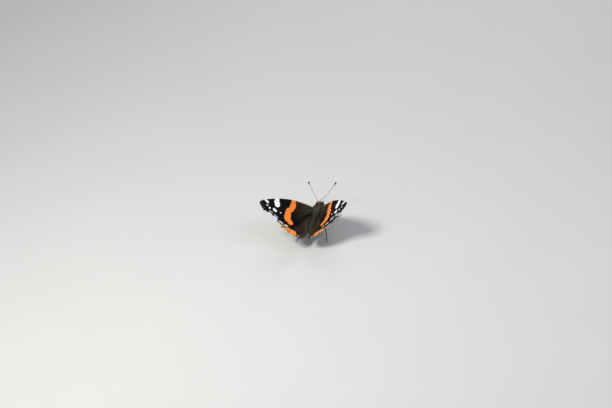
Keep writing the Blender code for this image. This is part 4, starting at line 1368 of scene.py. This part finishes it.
class CoatSettings(bpy.types.PropertyGroup):
    """Density and length of the hair."""

    body_density: FloatProperty(
        name="Body hair", description="Tufts on each square millimetre of the body",
        default=46.0, min=1.0, max=120.0,
    )
    leg_density: FloatProperty(
        name="Leg hair", description="Tufts on each square millimetre of the legs",
        default=80.0, min=1.0, max=200.0,
    )
    body_length: FloatProperty(
        name="Body hair length", description="Factor on the length of the body's hair",
        default=1.0, min=0.2, max=2.0,
    )
    wing_hair_density: FloatProperty(
        name="Wing hair", description="Hairs on each square millimetre at the root of the wings",
        default=38.0, min=0.0, max=80.0,
    )
    fringe_density: FloatProperty(
        name="Fringe scales", description="Fringe scales on each square millimetre of the margin",
        default=110.0, min=1.0, max=300.0,
    )


class StageSettings(bpy.types.PropertyGroup):
    """Light and camera."""

    lens: FloatProperty(
        name="Lens", description="Focal length of the camera",
        default=200.0, min=50.0, max=400.0, unit="CAMERA",
    )
    key_power: FloatProperty(
        name="Key light", description="Power of the main soft light", default=1.7, min=0.0, subtype="POWER"
    )
    backdrop: FloatVectorProperty(
        name="Backdrop", description="Colour of the light from all round",
        default=(0.9, 0.94, 1.0), subtype="COLOR",
    )


# What the wing hair grows on: plan, upper points and faces of each wing.
WING_SURFACES = {}


class BUTTERFLY_OT_wings(bpy.types.Operator):
    """Make the four scaled and veined wings"""

    bl_idname = "butterfly.wings"
    bl_label = "Wings"

    def execute(self, context):
        for kind in WINGS:
            for side, word in SIDES:
                WING_SURFACES[kind, side, word] = wing_piece(kind, side, word, context.scene.butterfly_wings)
        return {"FINISHED"}


class BUTTERFLY_OT_wing_hair(bpy.types.Operator):
    """Grow the fringe along the wings' margins and the hair at their roots"""

    bl_idname = "butterfly.wing_hair"
    bl_label = "Wing hair"

    def execute(self, context):
        coat, length = context.scene.butterfly_coat, context.scene.butterfly_wings.fringe_length
        seed = WING_SEED
        for (kind, side, word), (plan, points, faces) in WING_SURFACES.items():
            fields, slot = wing_hair_fields(kind, side, plan), WINGS[kind]["slot"]
            host = host_mesh(points, faces[fields["cover"][faces].max(1) > 0.01], fields)
            grow_coat(f"{kind}_{word}_hair", host, "wing_hair", coat.wing_hair_density, 1, seed)
            host = fringe_host(kind, side, length)
            grow_coat(f"{kind}_{word}_fringe", host, "fringe_scale", coat.fringe_density, 1, seed + 1)
            seed += 2
        return {"FINISHED"}


class BUTTERFLY_OT_body(bpy.types.Operator):
    """Make the one skin of head, thorax, abdomen, palps and legs, and grow its coat"""

    bl_idname = "butterfly.body"
    bl_label = "Body"

    def execute(self, context):
        coat = context.scene.butterfly_coat
        parts, legs, nodes = body_parts()
        skin = skin_mesh(parts)
        points, normals = np.zeros((2, len(skin.vertices) * 3))
        skin.vertices.foreach_get("co", points)
        skin.vertices.foreach_get("normal", normals)
        points, faces = points.reshape(-1, 3), [tuple(face.vertices) for face in skin.polygons]
        fields, covers = body_coat(points, normals.reshape(-1, 3), legs)
        mesh = new_piece("body_skin", points, faces, [body_skin()], nodes)
        give(mesh, "tint", fields["tint"])
        for seed, (part, cover) in enumerate(covers.items()):
            kind, density, length = "body_tuft", coat.body_density, coat.body_length
            if part == "head":
                density *= HEAD_THICKNESS
            if part == "leg":
                kind, density, length = "leg_tuft", coat.leg_density, 1
            host = host_mesh(points, faces, {**fields, "cover": cover})
            grow_coat(part + "_coat", host, kind, density, length, seed)
        return {"FINISHED"}


class BUTTERFLY_OT_claws(bpy.types.Operator):
    """Make the claws, spurs and fine spines of the four walking legs"""

    bl_idname = "butterfly.claws"
    bl_label = "Claws and spines"

    def execute(self, context):
        legs = [leg_paths(side)[name] for side, _ in SIDES for name in WALKING_LEGS]
        points, faces = joined([tube(*thorn, 6)[:2] for leg in legs for thorn in leg_thorns(*leg)])
        points = to_floor(points)
        points[:, 2] = np.maximum(points[:, 2], CLAW_CLEARANCE)
        new_piece("claws_and_spines", to_body(points), faces, [coiled_tongue()])
        return {"FINISHED"}


class BUTTERFLY_OT_eyes(bpy.types.Operator):
    """Make the two faceted eyes"""

    bl_idname = "butterfly.eyes"
    bl_label = "Eyes"

    def execute(self, context):
        rings, sides = EYE_FACES
        tilt = math.pi * np.arange(rings - 1, 0, -1)[:, None] / rings
        turn = math.tau * np.arange(sides) / sides
        ball = np.sin(tilt) * np.cos(turn), np.sin(tilt) * np.sin(turn), np.cos(tilt) + 0 * turn
        ball = np.concatenate([np.stack(ball, -1).reshape(-1, 3), [(0, 0, -1), (0, 0, 1)]])
        for side, word in SIDES:
            points, node = ball * EYE_RADII + mirrored(EYE_CENTRE, side), "eye_" + word
            faces = ring_faces(rings - 1, sides)
            new_piece(node + "_finish", points, faces, [eye_facets()], [node])
        return {"FINISHED"}


class BUTTERFLY_OT_feelers(bpy.types.Operator):
    """Make the ringed feelers and the coiled tongue"""

    bl_idname = "butterfly.feelers"
    bl_label = "Feelers"

    def execute(self, context):
        tongue = tongue_path()
        threads = {"antenna_" + word: (*antenna_path(side), 18, ringed_feeler) for side, word in SIDES}
        threads["proboscis"] = (tongue, np.full(len(tongue), PROBOSCIS_RADIUS), 12, coiled_tongue)
        for node, (path, radii, sides, make) in threads.items():
            points, faces, shares = tube(path, radii, sides)
            mesh = new_piece(node + "_finish", points, faces, [make()], [node])
            give(mesh, "along", shares)
        return {"FINISHED"}


class BUTTERFLY_OT_stage(bpy.types.Operator):
    """Set the pale floor, the soft lights and the camera"""

    bl_idname = "butterfly.stage"
    bl_label = "Stage"

    def execute(self, context):
        set_floor()
        set_lights(context.scene)
        set_camera(context.scene)
        return {"FINISHED"}


SETTINGS = {"butterfly_wings": WingSettings, "butterfly_coat": CoatSettings, "butterfly_stage": StageSettings}
OPERATORS = (
    BUTTERFLY_OT_stage, BUTTERFLY_OT_wings, BUTTERFLY_OT_body, BUTTERFLY_OT_claws, BUTTERFLY_OT_eyes,
    BUTTERFLY_OT_feelers, BUTTERFLY_OT_wing_hair,
)


class BUTTERFLY_PT_panel(bpy.types.Panel):
    """Lists the butterfly's pieces and settings"""

    bl_label = "Red admiral"
    bl_idname = "BUTTERFLY_PT_panel"
    bl_space_type = "VIEW_3D"
    bl_region_type = "UI"
    bl_category = "Butterfly"

    def draw(self, context):
        for group in SETTINGS:
            settings = getattr(context.scene, group)
            for name in settings.__annotations__:
                self.layout.prop(settings, name)
        for operator in OPERATORS:
            self.layout.operator(operator.bl_idname)


def register():
    for group in (*SETTINGS.values(), *OPERATORS, BUTTERFLY_PT_panel):
        bpy.utils.register_class(group)
    for name, group in SETTINGS.items():
        setattr(bpy.types.Scene, name, PointerProperty(type=group))


def unregister():
    for name in SETTINGS:
        delattr(bpy.types.Scene, name)
    for group in (BUTTERFLY_PT_panel, *reversed(OPERATORS), *SETTINGS.values()):
        bpy.utils.unregister_class(group)


def main():
    register()
    for operator in OPERATORS:
        group, name = operator.bl_idname.split(".")
        getattr(getattr(bpy.ops, group), name)()
    bpy.context.view_layer.update()


if __name__ == "__main__":
    main()
